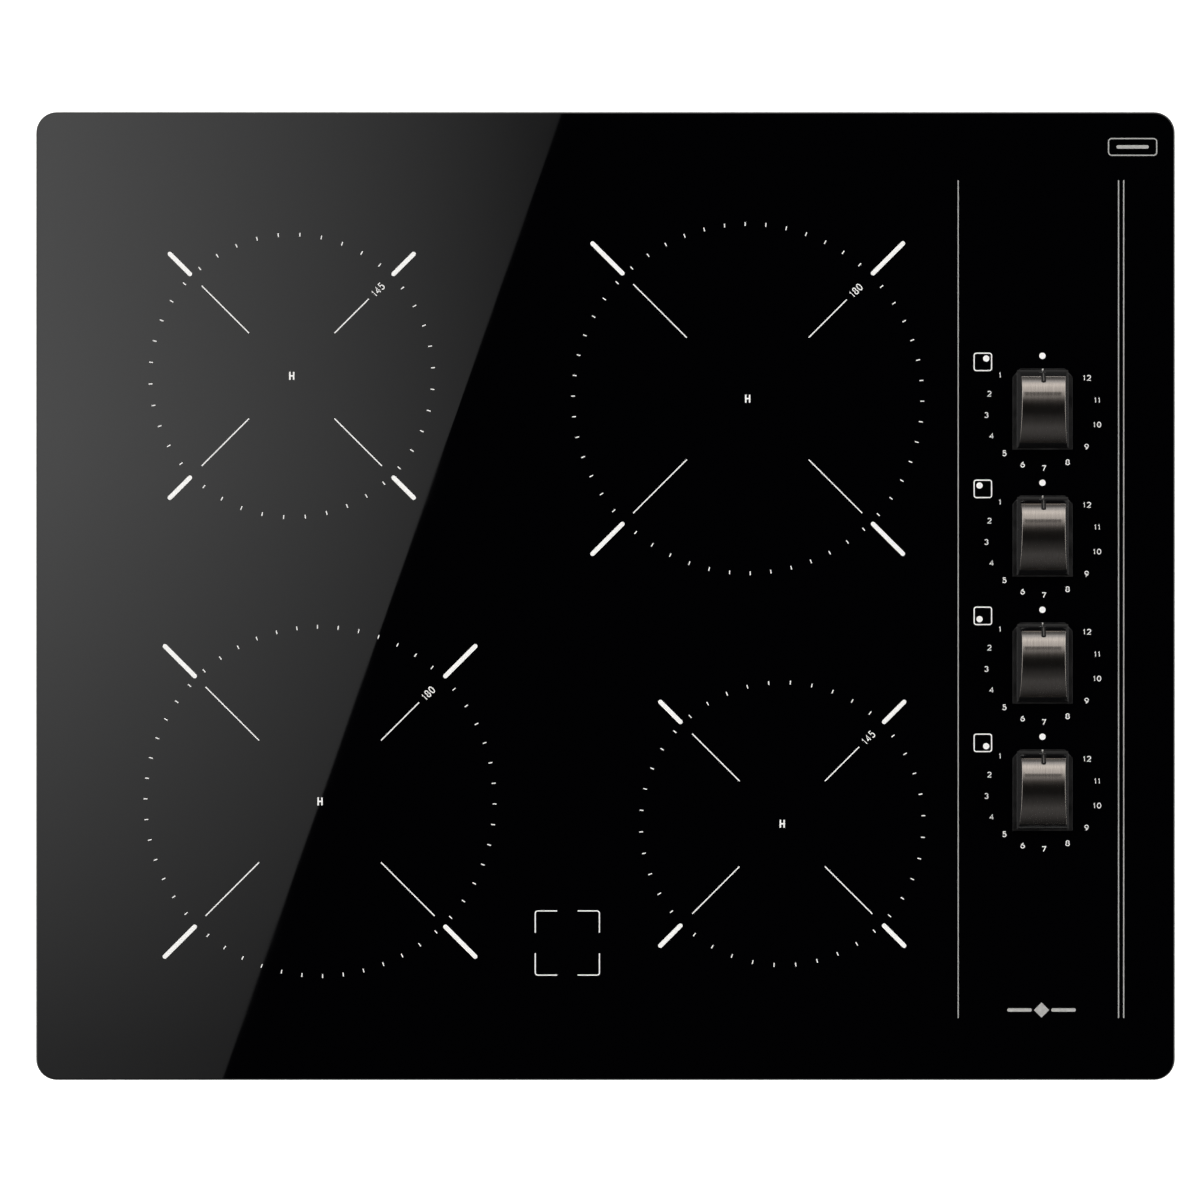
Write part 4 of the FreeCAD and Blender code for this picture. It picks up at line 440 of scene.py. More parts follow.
CORNER, TOP_ROUND, UNDER_ROUND, HOLE = 11 * MM, 0.8 * MM, 0.8 * MM, 6 * MM
plate_middle = middle("glass_plate")[:2]
plate_half = half_size("glass_plate")[:2]
quarter = np.radians(np.linspace(0, 90, 7))
insets = np.concatenate([UNDER_ROUND * (1 - np.sin(quarter)), TOP_ROUND * (1 - np.cos(quarter))])
heights = np.concatenate([GLASS_LOW + UNDER_ROUND * (1 - np.cos(quarter)),
                          GLASS_TOP - TOP_ROUND * (1 - np.sin(quarter))])
edge_rings = [at_height(plate_middle + rounded_rectangle(*(plate_half - inset), CORNER - inset), z)
              for inset, z in zip(insets, heights)]
holes = [circle(*place[:2], HOLE) for place in DIALS.values()]
points, faces = join([
    wall(*edge_rings), flat_face(GLASS_LOW, edge_rings[0][:, :2], *holes),
    flat_face(GLASS_TOP, edge_rings[-1][:, :2], *holes),
    *[wall(at_height(hole, GLASS_LOW), at_height(hole, GLASS_TOP)) for hole in holes]])
glass = piece("glass_plate_polished", points, faces, glass_polish, "black_glass", replaces=["glass_plate"])
glass.data.materials.append(ground_glass)
leaning = np.zeros(len(glass.data.polygons) * 3, np.float32)
glass.data.polygons.foreach_get("normal", leaning)
flat_side = np.abs(leaning.reshape(-1, 3)[:, 2]) > 0.999
glass.data.polygons.foreach_set("material_index", np.where(flat_side, 0, 1).astype(np.int32))
glass.data.polygons.foreach_set("use_smooth", ~flat_side)
print("glass plate:", len(glass.data.polygons), "faces,", (plate_half * 2 / MM).round(1).tolist(), "mm")

# %% [markdown]
# ## The print
# Marks on glass ceramic are screen-printed with ceramic ink and fired in, so they lie on the surface as a
# skin a few hundredths of a millimetre thick, dead matt next to the glass. They could be painted in the
# glass's material, but a thin solid for each mark keeps its edge crisp at any distance, and a reader can
# measure it. Every mark is a flat outline in millimetres, turned and moved to its place.

# %% Ink and mark outlines
INK_LOW, INK_HIGH = GLASS_TOP + 0.005 * MM, GLASS_TOP + 0.04 * MM


def ink_finish(name, dense, thin):
    """Fired ceramic ink: matt, and a little thinner in spots 1.5 mm apart, coarser than the real mesh."""
    made, tree, shader = finish(name, dense, Roughness=0.62, IOR=1.5)
    where = place_nodes(tree)
    spots = spread(tree, noise(tree, where, 1.5 * MM, 4), 0, 1)
    tinted(tree, shader, spots, thin, dense)
    relief(tree, shader, noise(tree, where, 0.4 * MM), 0.01 * MM)
    return made


white_ink = ink_finish("fired_white_ceramic_ink", "#ffffff", "#f1f1ee")
grey_ink = ink_finish("fired_grey_ceramic_ink", "#b4b4b2", "#a2a2a0")


def bar(start, end, wide, round_ends=False):
    """A bar along +Y from start to end, with half circles for ends if they are round."""
    half = wide / 2
    if not round_ends:
        return np.array([(-half, start), (half, start), (half, end), (-half, end)])
    angle = np.linspace(0, np.pi, 9)
    far = np.stack([half * np.cos(angle), end + half * np.sin(angle)], axis=1)
    near = np.stack([-half * np.cos(angle), start - half * np.sin(angle)], axis=1)
    return np.concatenate([far, near])


def placed(outline, place, turn=0.0):
    """An outline in mm turned clockwise by degrees about its origin, then moved to place, in metres."""
    angle = math.radians(turn)
    x, y = outline[:, 0], outline[:, 1]
    turned = np.stack([x * math.cos(angle) + y * math.sin(angle),
                       y * math.cos(angle) - x * math.sin(angle)], axis=1)
    return turned * MM + np.asarray(place)[:2]


def printed(*outlines):
    """One mark: a skin of ink with the first outline as its edge and the others as holes."""
    return slab(INK_LOW, INK_HIGH, *outlines)


def stroke(path, wide, closed=False):
    """A line of one width: each point moves half of it both ways, along the mean of the normals there."""
    path = np.asarray(path, float)
    step = (np.roll(path, -1, axis=0) if closed else path[1:]) - (path if closed else path[:-1])
    step = step / np.linalg.norm(step, axis=1)[:, None]
    normal = np.column_stack([-step[:, 1], step[:, 0]])
    before = np.roll(normal, 1, axis=0) if closed else np.vstack([normal[:1], normal])
    after = normal if closed else np.vstack([normal, normal[-1:]])
    mean = (before + after) / np.maximum(1 + (before * after).sum(axis=1), 0.5)[:, None] * wide / 2
    sides = (path + mean, path - mean)
    return sides if closed else (np.concatenate([sides[0], sides[1][::-1]]),)


def arc(x, y, wide, tall, start, end, steps=9):
    """Points of an ellipse about x, y between two angles in degrees, anticlockwise from +X."""
    angle = np.radians(np.linspace(start, end, steps))
    return np.column_stack([x + wide / 2 * np.cos(angle), y + tall / 2 * np.sin(angle)])


SIX = [(arc(0.5, 0.31, 1, 0.62, 0, 340, 16), True), (arc(1.0, 0.31, 2.0, 1.38, 103, 172), False)]
FIGURE_LINES = {    # each figure in a box one wide and one tall: its lines, and whether each is closed
    "0": [(arc(0.5, 0.5, 1, 1, 0, 345, 20), True)],
    "1": [([(0.05, 0.74), (0.55, 1), (0.55, 0)], False)],
    "2": [(np.concatenate([arc(0.5, 0.71, 1, 0.58, 160, -35), [(0, 0), (1.05, 0)]]), False)],
    "3": [(np.concatenate([arc(0.48, 0.755, 0.9, 0.49, 155, -70),
                           arc(0.5, 0.27, 1, 0.54, 70, -155)]), False)],
    "4": [([(0.75, 0), (0.75, 1), (0, 0.28), (1.05, 0.28)], False)],
    "5": [(np.concatenate([[(0.92, 1), (0.2, 1), (0.1, 0.48)],
                           arc(0.47, 0.33, 1.06, 0.66, 125, -150)]), False)],
    "6": SIX,
    "7": [([(0, 1), (0.98, 1), (0.34, 0)], False)],
    "8": [(arc(0.5, 0.76, 0.84, 0.48, 0, 340, 14), True), (arc(0.5, 0.26, 1, 0.52, 0, 340, 16), True)],
    "9": [(1 - np.asarray(path), closed) for path, closed in SIX]}
ONE_SHARE = 0.62    # a 1 takes this share of the width of the other figures


def figures(text, tall, wide, line, gap, place, turn=0.0):
    """Plain figures of one line width, tall and wide in mm, set in a row about place."""
    widths = [(ONE_SHARE if letter == "1" else 1.0) * wide for letter in text]
    left = -(sum(widths) + gap * (len(text) - 1)) / 2
    marks = []
    for letter, width in zip(text, widths):
        for path, closed in FIGURE_LINES[letter]:
            fitted = np.asarray(path) * (width - line, tall - line) + (left + line / 2, (line - tall) / 2)
            marks.append(printed(*[placed(side, place, turn) for side in stroke(fitted, line, closed)]))
        left += width + gap
    return marks


print("ink", round((INK_HIGH - INK_LOW) / MM, 3), "mm thick")

# %% [markdown]
# A cooking zone is marked by a ring of short radial ticks as wide as the pan it suits. The ring opens at
# two corners, and four diagonal lines point at it: thick bars outside, thin lines inside, one of which
# carries the zone's width in millimetres. Angles run clockwise from the rear.

# %% Zone marks
TICK_LONG, TICK_WIDE, BAR_WIDE, LINE_WIDE = 2.0, 0.55, 2.35, 0.6
SMALL_ZONE = {"ticks": 20, "gap": 13.15, "bar": (75.9, 90.8), "line": (31.8, 67.1), "short": 57.3,
              "figures": "145", "figures_at": 64.3}
LARGE_ZONE = {"ticks": 26, "gap": 10.15, "bar": (93.4, 115.6), "line": (45.4, 85.3), "short": 73.8,
              "figures": "180", "figures_at": 80.7}
ZONE_FIGURES = {"tall": 4.2, "wide": 2.35, "line": 0.52, "gap": 0.55}
H_WIDE, H_GAP, H_TALL, H_BAR = 1.4, 0.6, 2.1, 0.4    # each is half of what it names


def zone_marks(place, radius, zone):
    """Ticks on both halves of a ring, four bars, four lines, the width, and a letter H in the middle."""
    first, last = 45 + zone["gap"] / 2, 225 - zone["gap"] / 2
    tick = bar(radius / MM - TICK_LONG / 2, radius / MM + TICK_LONG / 2, TICK_WIDE)
    marks = [printed(placed(tick, place, angle + half))
             for angle in np.linspace(first, last, zone["ticks"]) for half in (0, 180)]
    for angle in (45, 135, 225, 315):
        end = zone["short"] if angle == 45 else zone["line"][1]
        marks.append(printed(placed(bar(*zone["bar"], BAR_WIDE, round_ends=True), place, angle)))
        marks.append(printed(placed(bar(zone["line"][0], end, LINE_WIDE), place, angle)))
    out = zone["figures_at"] * MM / math.sqrt(2)
    marks += figures(zone["figures"], place=place[:2] + out, turn=-45, **ZONE_FIGURES)
    front_half = [(-H_WIDE, -H_TALL), (-H_GAP, -H_TALL), (-H_GAP, -H_BAR), (H_GAP, -H_BAR),
                  (H_GAP, -H_TALL), (H_WIDE, -H_TALL)]
    letter = np.array(front_half + [(-x, -y) for x, y in front_half])
    marks.append(printed(placed(letter, place)))
    return join(marks)


SMALLEST = min(MARK_RADIUS.values())
for zone in ZONES:
    kind = SMALL_ZONE if MARK_RADIUS[zone] < 1.1 * SMALLEST else LARGE_ZONE
    made = piece(f"print_zone_{zone}", *zone_marks(middle(f"mica_disc_{zone}"), MARK_RADIUS[zone], kind),
                 white_ink, "print_ink", merge=False)
    print(made.name, "ring", round(MARK_RADIUS[zone] / MM, 1), "mm,", len(made.data.polygons), "faces")

# %% [markdown]
# Each control has a dot for off at its rear, the figures 1 to 12 round it, and a small sign that shows
# which zone it works: a square with a dot in one corner. The figures stand upright. They run
# anticlockwise, 1 to 7 a little closer together than 7 to 12, because the two halves heat differently.

# %% Dial marks
FIGURE_RING, OFF_DOT = 29.6, 1.68
DIAL_FIGURES = {"tall": 3.1, "wide": 2.35, "line": 0.52, "gap": 0.5}
SIGN_AT, SIGN_HALF, SIGN_ROUND, SIGN_LINE, SIGN_DOT = np.array([-31.4, 26.4]), 4.9, 1.2, 0.62, 1.65
SIGN_DOT_AT = 1.75
ONE_AT, LOWER_STEP, SEVEN_AT, UPPER_STEP = 48.9, 22.1, 181.4, 25.2    # degrees
WORKS = {"knob_1": "rear_right", "knob_2": "rear_left", "knob_3": "front_left", "knob_4": "front_right"}


def figure_angle(figure):
    """Degrees anticlockwise from the rear: even steps from 1 to 7, and wider even steps beyond 7."""
    return ONE_AT + LOWER_STEP * (figure - 1) if figure <= 7 else SEVEN_AT + UPPER_STEP * (figure - 7)


def dial_marks(place, zone):
    """The off dot, twelve figures on a ring, and the sign of the zone."""
    marks = [printed(circle(place[0], place[1] + FIGURE_RING * MM, OFF_DOT * MM))]
    for figure in range(1, 13):
        angle = math.radians(figure_angle(figure))
        spot = place[:2] + FIGURE_RING * MM * np.array([-math.sin(angle), math.cos(angle)])
        marks += figures(str(figure), place=spot, **DIAL_FIGURES)
    sign = place[:2] + SIGN_AT * MM
    half = SIGN_HALF - SIGN_LINE / 2
    square = stroke(rounded_rectangle(half, half, SIGN_ROUND, 6), SIGN_LINE, closed=True)
    marks.append(printed(*[placed(side, sign) for side in square]))
    corner = np.array([1 if "right" in zone else -1, 1 if "rear" in zone else -1]) * SIGN_DOT_AT * MM
    marks.append(printed(circle(*(sign + corner), SIGN_DOT * MM)))
    return join(marks)


for body, place in DIALS.items():
    made = piece(f"print_dial_{body[-1]}", *dial_marks(place, WORKS[body]), white_ink, "print_ink",
                 merge=False)
    print(made.name, len(made.data.polygons), "faces")

# %% [markdown]
# Four corner brackets frame the window in front of the indicator lamps, and three long grey lines set
# the control panel apart. Where a maker would print names, two plain marks stand in for them: a rounded
# frame with a bar in it, and a diamond between two bars. They stand for no one.

# %% Window, panel lines and plain marks
BRACKET_HALF, BRACKET_LEG, BRACKET_ROUND, BRACKET_LINE = 17.2, 11.8, 1.6, 0.6
PANEL_FRONT, PANEL_REAR = -222.3, 219.0
PANEL_LINES = {185.8: 0.54, 270.3: 0.6, 273.0: 0.6}
FRAME_MARK, FRAME_SIZE, FRAME_LINE, FRAME_BAR = (277.7, 236.6), (12.7, 4.4, 1.7), 0.6, (8.5, 0.9, 0.85)
DIAMOND_MARK, DIAMOND, WING = (229.7, -218.1), 4.0, (6, 17.2, 1.8)


def bracket(turn, place):
    """An L-shaped line with a rounded corner, its corner at the upper right before it is turned."""
    edge, out = BRACKET_HALF - BRACKET_LINE / 2, BRACKET_HALF - BRACKET_ROUND
    bend = arc(out, out, 2 * (edge - out), 2 * (edge - out), 0, 90, 7)
    short = BRACKET_HALF - BRACKET_LEG
    path = np.concatenate([[(edge, short)], bend, [(short, edge)]])
    return printed(*[placed(side, place, turn) for side in stroke(path, BRACKET_LINE)])


window = middle("indicator_lamps")
piece("print_window_frame", *join([bracket(turn, window) for turn in (0, 90, 180, 270)]), white_ink,
      "print_ink", merge=False)
piece("print_panel_lines", *join([printed(placed(bar(PANEL_FRONT, PANEL_REAR, wide), (x * MM, 0)))
                                  for x, wide in PANEL_LINES.items()]), grey_ink, "print_ink", merge=False)

place = np.array(FRAME_MARK) * MM
frame_line = stroke(rounded_rectangle(*FRAME_SIZE), FRAME_LINE, closed=True)
frame_mark = [printed(*[placed(side, place) for side in frame_line]),
              printed(placed(rounded_rectangle(*FRAME_BAR), place))]
place = np.array(DIAMOND_MARK) * MM
diamond = np.array([(0, -DIAMOND), (DIAMOND, 0), (0, DIAMOND), (-DIAMOND, 0)])
diamond_mark = [printed(placed(diamond, place)),
                *[printed(placed(bar(*WING, round_ends=True), place, turn)) for turn in (90, 270)]]
piece("print_plain_marks", *join(frame_mark + diamond_mark), grey_ink, "print_ink", merge=False)
print("window at", (window / MM).round(1).tolist())

# %% [markdown]
# ## The controls
# A knob here is three moulded or pressed pieces: a glossy black body with a flat plinth and a grip that
# narrows upwards, a dark brushed metal strip laid over the arch of the grip, and a small pointer inlay.
# The arch is two arcs that meet at the crest with one tangent, and a straight run down to the pointer
# end. Sculpting it would lose that clean line, so the arch is one path by arc length, and both the body
# and the strip are profiles carried along it.

# %% The arch of the grip
SIDE_PLACE = DIALS["knob_1"]
KNOB_LOW, KNOB_HIGH = (corner - np.append(SIDE_PLACE[:2], 0) for corner in corners_of("knob_body_1"))
CREST = corners_of("knob_face_1")[1][2]
CREST_Y, BACK_RADIUS, NOSE_RADIUS, RUN_OUT = 10 * MM, 40 * MM, 11.5 * MM, math.radians(65)
PLINTH_TOP, FOOT_LEVEL = KNOB_LOW[2] + 2.2 * MM, KNOB_LOW[2] + 1.1 * MM
FOOT_SIDE, FOOT_END = 2.1 * MM, 0.7 * MM
GRIP_HALF, GRIP_FRONT, GRIP_NOSE = KNOB_HIGH[0] - FOOT_SIDE, KNOB_LOW[1] + FOOT_END, KNOB_HIGH[1] - FOOT_END
TAPER = math.tan(math.radians(6.5))
STRIP = 0.8 * MM
REACH_FRONT, REACH_REAR, REACH_STEPS = -42 * MM, 24 * MM, 3001    # arc lengths past both ends of the arch


def ridge(along, lift=0.0):
    """Point and outward normal of the arch at an arc length from its crest, lifted along the normal.

    The angle from straight up is arc length / radius, up to the run-out angle, and constant after it.
    """
    along = np.asarray(along, float)
    radius = np.where(along < 0, BACK_RADIUS, NOSE_RADIUS)
    angle = np.minimum(along / radius, RUN_OUT)
    past = np.maximum(along - NOSE_RADIUS * RUN_OUT, 0)
    y = CREST_Y + (radius + lift) * np.sin(angle) + past * math.cos(RUN_OUT)
    z = CREST - radius + (radius + lift) * np.cos(angle) - past * math.sin(RUN_OUT)
    return y, z, np.sin(angle), np.cos(angle)


def lean(z):
    """How far the flanks have come in at the height z."""
    return (z - FOOT_LEVEL) * TAPER


def ridge_rows(lift):
    """Arc lengths from end to end of the arch: it ends where it meets the grip's leaning end faces."""
    trial = np.linspace(REACH_FRONT, REACH_REAR, REACH_STEPS)
    y, z, _, _ = ridge(trial, lift)
    rising, nose_side = trial < 0, trial > 0
    start = np.interp(0, (y - GRIP_FRONT - lean(z))[rising], trial[rising])
    end = np.interp(0, (y - GRIP_NOSE + lean(z))[nose_side], trial[nose_side])
    bend = NOSE_RADIUS * RUN_OUT
    return np.concatenate([np.linspace(start, 0, 23)[:-1], np.linspace(0, bend, 15)[:-1],
                           np.linspace(bend, end, 4)])


rows = ridge_rows(0)
print("crest", round((CREST - GLASS_TOP) / MM, 2), "mm above the glass; arch", round(np.ptp(rows) / MM, 1),
      "mm long")

# %% [markdown]
# The body is closed all round and hollow underneath, as a moulding with an even wall is. Its surfaces are
# made one by one and merged: the cap under the arch, the flanks, the shelf round them, the plinth, and
# below it the hollow with a hub and a D-shaped bore for the shaft. A Bevel modifier then rounds every
# edge, because no moulded edge is sharp, and Weighted Normal keeps the flat faces flat to the eye.

# %% Knob body
CUT_WIDE, CUT_LONG, WALL, HOLLOW_TOP = 4 * MM, 4.5 * MM, 1.8 * MM, KNOB_LOW[2] + 6.5 * MM
HUB, BORE, BORE_FLAT, BORE_TOP, HOLLOW_ROUND = 5.2 * MM, 3.05 * MM, 2.0 * MM, GLASS_TOP + 15 * MM, 1 * MM


def soften(made, wide, segments=3):
    """Rounds the sharp edges of a piece and evens its shading."""
    bevel = made.modifiers.new("moulded_edges", "BEVEL")
    bevel.width, bevel.segments = wide, segments
    bevel.limit_method, bevel.angle_limit = "ANGLE", math.radians(32)
    bevel.miter_outer = "MITER_ARC"
    even = made.modifiers.new("even_shading", "WEIGHTED_NORMAL")
    even.keep_sharp = True
    return made


def knob_shell():
    """The surfaces of a knob body about its shaft."""
    y, z, _, _ = ridge(ridge_rows(-STRIP), -STRIP)
    across = np.linspace(-1, 1, 11)
    cap_x = across[None, :] * (GRIP_HALF - lean(z))[:, None]
    cap = np.stack(np.broadcast_arrays(cap_x, y[:, None], z[:, None]), axis=-1)
    index = np.arange(cap_x.size).reshape(cap_x.shape)
    edge = np.concatenate([index[0, :-1], index[:-1, -1], index[-1, :0:-1], index[:0:-1, 0]])
    rim = cap.reshape(-1, 3)[edge]
    foot = rim.copy()
    foot[:, 0] *= (GRIP_HALF - lean(PLINTH_TOP)) / (GRIP_HALF - lean(rim[:, 2]))
    foot[:, 1] = np.where(rim[:, 1] <= y[0] + 1e-9, GRIP_FRONT + lean(PLINTH_TOP), foot[:, 1])
    foot[:, 1] = np.where(rim[:, 1] >= y[-1] - 1e-9, GRIP_NOSE - lean(PLINTH_TOP), foot[:, 1])
    foot[:, 2] = PLINTH_TOP
    side, nose, front = KNOB_HIGH[0], KNOB_HIGH[1], KNOB_LOW[1]
    plinth = np.array([(-side, front), (side, front), (side, nose - CUT_LONG), (side - CUT_WIDE, nose),
                       (CUT_WIDE - side, nose), (-side, nose - CUT_LONG)])
    hollow = rounded_rectangle(GRIP_HALF - WALL, (GRIP_NOSE - GRIP_FRONT) / 2 - WALL, HOLLOW_ROUND, 4)
    hollow = np.array([0, (GRIP_FRONT + GRIP_NOSE) / 2]) + hollow
    hub, bore = circle(0, 0, HUB, 32), circle(0, 0, BORE, 32)
    bore[:, 0] = np.minimum(bore[:, 0], BORE_FLAT)
    low = KNOB_LOW[2]
    return join([
        (cap.reshape(-1, 3), grid_faces(*cap_x.shape)), wall(rim, foot),
        flat_face(PLINTH_TOP, plinth, foot[:, :2]),
        wall(at_height(plinth, PLINTH_TOP), at_height(plinth, low)),
        flat_face(low, plinth, hollow), wall(at_height(hollow, low), at_height(hollow, HOLLOW_TOP)),
        flat_face(HOLLOW_TOP, hollow, hub), wall(at_height(hub, HOLLOW_TOP), at_height(hub, low)),
        flat_face(low, hub, bore), wall(at_height(bore, low), at_height(bore, BORE_TOP)),
        flat_face(BORE_TOP, bore)])


knob_gloss, tree, shader = finish("polished_black_abs", "#0a0a0b", IOR=1.53)
where = place_nodes(tree)
glossed(tree, shader, noise(tree, where, 9 * MM, 4), 0.1, 0.17)
relief(tree, shader, noise(tree, where, 2.5 * MM, 2), 0.002 * MM)

shell_points, shell_faces = knob_shell()
for body, place in DIALS.items():
    made = piece(f"knob_shell_{body[-1]}", shell_points + np.append(place[:2], 0), shell_faces, knob_gloss,
                 "knob_plastic", body, [f"knob_body_{body[-1]}"])
    soften(made, 0.4 * MM)
print("knob shell:", len(shell_faces), "faces before its edges are rounded")

# %% [markdown]
# The strip is a pressed sheet 0.8 mm thick whose long edges are rolled over, so each shows a thin bright
# line. Its section is a closed outline across the knob, carried along the arch, and it stops a little
# before both ends of the arch, where the moulding shows. Where the pointer lies, the middle of the
# section drops into a slot. The brush marks run along the arch, so the finish stretches
# its noise along Y, and the anisotropic reflection follows a UV map laid along the arch.

# %% Metal strip
SLOT_HALF, SLOT_START, SLOT_DEEP, ROLL = 1.15 * MM, 15.25 * MM, 0.6 * MM, 0.2 * MM
STRIP_FRONT, STRIP_REAR, END_CLEAR, SLOT_STEP = -16.3 * MM, 18.45 * MM, 0.1 * MM, 0.01 * MM


def strip_section(half, slot):
    """Across and down for each point round the strip's section: half its width, and the slot's depth."""
    roll = np.radians(np.linspace(0, 90, 5))
    left_x, left_d = -half + ROLL * (1 - np.sin(roll)), ROLL * (1 - np.cos(roll))
    middle_x = np.array([-0.75, -0.5, -0.25]) * (half - SLOT_HALF) - SLOT_HALF
    x = np.concatenate([[-half], left_x[::-1], middle_x, [-SLOT_HALF] * 2])
    down = np.concatenate([[STRIP], left_d[::-1], np.zeros(len(middle_x) + 1), [slot]])
    return np.concatenate([x, -x[::-1]]), np.concatenate([down, down[::-1]])


def metal_strip():
    """The strip's section carried along the arch from STRIP_FRONT to STRIP_REAR, and closed at both ends."""
    along = ridge_rows(0)
    front, rear = np.interp([STRIP_FRONT, STRIP_REAR], ridge(along)[0], along)
    kept = along[(along > front + END_CLEAR) & (along < rear - END_CLEAR)]
    along = np.concatenate([[front], kept, [rear]])
    start = np.interp(SLOT_START, ridge(along)[0], along)
    along = np.sort(np.concatenate([along, [start, start + SLOT_STEP]]))
    y, z, lean_y, lean_z = ridge(along)
    sections = [strip_section(half, SLOT_DEEP if s > start + SLOT_STEP / 2 else 0.0)
                for half, s in zip(GRIP_HALF - lean(z), along)]
    across, down = (np.array(values) for values in zip(*sections))
    points = np.stack([across, y[:, None] - down * lean_y[:, None],
                       z[:, None] - down * lean_z[:, None]], axis=-1)
    count = across.shape[1]
    ends = [list(range(count)), list(range(across.size - count, across.size))]
    return points.reshape(-1, 3), grid_faces(len(along), count, wrap=True).tolist() + ends


def lay_uv(made):
    """A UV map for a strip: u is x across the knob and v is y along it, both in metres."""
    mesh = made.data
    layer = mesh.uv_layers.new(name="along_the_arch")
    corners = np.zeros(len(mesh.loops), np.int32)
    mesh.loops.foreach_get("vertex_index", corners)
    layer.data.foreach_set("uv", vertex_places(mesh)[corners, :2].ravel())


BRUSH_LINE, BRUSH_LONG = 0.25 * MM, 14 * MM    # real scratches are 0.05 mm apart, drawn coarser to show
brushed, tree, shader = finish("dark_brushed_steel_strip", "#96908b", Metallic=1.0, Anisotropic=0.5)
where = place_nodes(tree, stretch=(1.0, BRUSH_LINE / BRUSH_LONG, 0.15))
lines = noise(tree, where, BRUSH_LINE, 5, 0.65)
tinted(tree, shader, spread(tree, lines, 0, 1), "#8b8580", "#a19b96")
glossed(tree, shader, lines, 0.14, 0.19)
relief(tree, shader, lines, 0.002 * MM)
tangent = add(tree, "ShaderNodeTangent", direction_type="UV_MAP", uv_map="along_the_arch")
tree.links.new(tangent.outputs["Tangent"], shader.inputs["Tangent"])

strip_points, strip_faces = metal_strip()
for body, place in DIALS.items():
    made = piece(f"knob_strip_{body[-1]}", strip_points + np.append(place[:2], 0), strip_faces, brushed,
                 "knob_metal", body, [f"knob_face_{body[-1]}"], sharp=50)
    lay_uv(made)
print("strip:", len(strip_faces), "faces, from y", round(strip_points[:, 1].min() / MM, 1), "to",
      round(strip_points[:, 1].max() / MM, 1), "mm")

# %% [markdown]
# The pointer is a black inlay with round ends and a paler bar along its middle. A small white ball on the
# plinth at its tip is a painted highlight: it stands for the glint of light that the tip catches. All of
# them are rings drawn round a short line on the arch: a ring's points are at a share of the half width from
# that line, and each ring has its own height above the arch.

# %% Pointer
POINTER_FROM, POINTER_TO, POINTER_HALF = 15.1 * MM, 21.0 * MM, 1.3 * MM
BEAD_Y, BEAD_RADIUS, BEAD_STEPS = 22.42 * MM, 0.42 * MM, 16


def inlay(shares, lifts, steps=36):
    """Rings round the pointer's middle line, draped over the arch: each has a share of its half width."""
    rows = ridge_rows(0)
    y = ridge(rows)[0]
    start, end = np.interp([POINTER_FROM, POINTER_TO], y, rows)
    angle = (np.arange(steps) + 0.5) * 2 * np.pi / steps
    centre = np.where(np.sin(angle) > 0, end - POINTER_HALF, start + POINTER_HALF)
    rings = []
    for share, lift in zip(shares, lifts):
        y, z, _, _ = ridge(centre + share * POINTER_HALF * np.sin(angle), lift)
        rings.append(np.column_stack([share * POINTER_HALF * np.cos(angle), y, z]))
    return wall(*rings)


def bead():
    """A ball sunk a little into the plinth: a ring at latitude a has radius r cos a and height r sin a."""
    return wall(*[at_height(circle(0, BEAD_Y, max(BEAD_RADIUS * math.cos(a), 1e-9), BEAD_STEPS),
                            PLINTH_TOP + BEAD_RADIUS * math.sin(a))
                  for a in np.radians(np.linspace(-25, 90, 8))])


inlay_black, tree, shader = finish("moulded_black_inlay", "#030303", Roughness=0.6, Specular_IOR_Level=0.25)
grained(tree, shader, 0.3 * MM, 0.004 * MM)
inlay_grey, tree, shader = finish("grey_pointer_paint", "#4b4947", Roughness=0.45)
grained(tree, shader, 0.3 * MM, 0.006 * MM)
tinted(tree, shader, noise(tree, place_nodes(tree), 0.8 * MM), "#434140", "#555351")
# painted highlight: the white ball at the pointer's tip stands for the glint of light there, not for paint
# on the knob
painted_glint_white, tree, shader = finish("white_painted_glint", "#e6e4e0", Roughness=0.4)
grained(tree, shader, 0.3 * MM, 0.004 * MM)

SURROUND = {"shares": [0, 0.7, 0.7, 1, 1, 0.93, 0.8, 0.45, 0.4, 0],
            "lifts": np.array([-0.85, -0.85, 0.01, 0.01, 0.06, 0.13, 0.15, 0.15, 0.05, 0.05]) * MM}
BAR = {"shares": [0, 0.27, 0.27, 0.2, 0], "lifts": np.array([0.0, 0.0, 0.12, 0.14, 0.14]) * MM}
PARTS = (("surround", inlay(**SURROUND), inlay_black, ["knob_pointer"]),
         ("bar", inlay(**BAR), inlay_grey, []), ("bead", bead(), painted_glint_white, []))
for body, place in DIALS.items():
    for name, (points, faces), material, stands_for in PARTS:
        piece(f"pointer_{name}_{body[-1]}", points + np.append(place[:2], 0), faces, material,
              "pointer_inlay", body, [f"{node}_{body[-1]}" for node in stands_for], sharp=60)
print("pointers on", len(DIALS), "knobs")

# %% [markdown]
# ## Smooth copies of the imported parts
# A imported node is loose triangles, so its round parts look faceted. Where its shape is right, a copy is
# merged and shaded by angle, and it stands for the node. On moulded parts the flat triangles are first
# joined into whole faces, so that a Bevel modifier can round the true edges and nothing else.


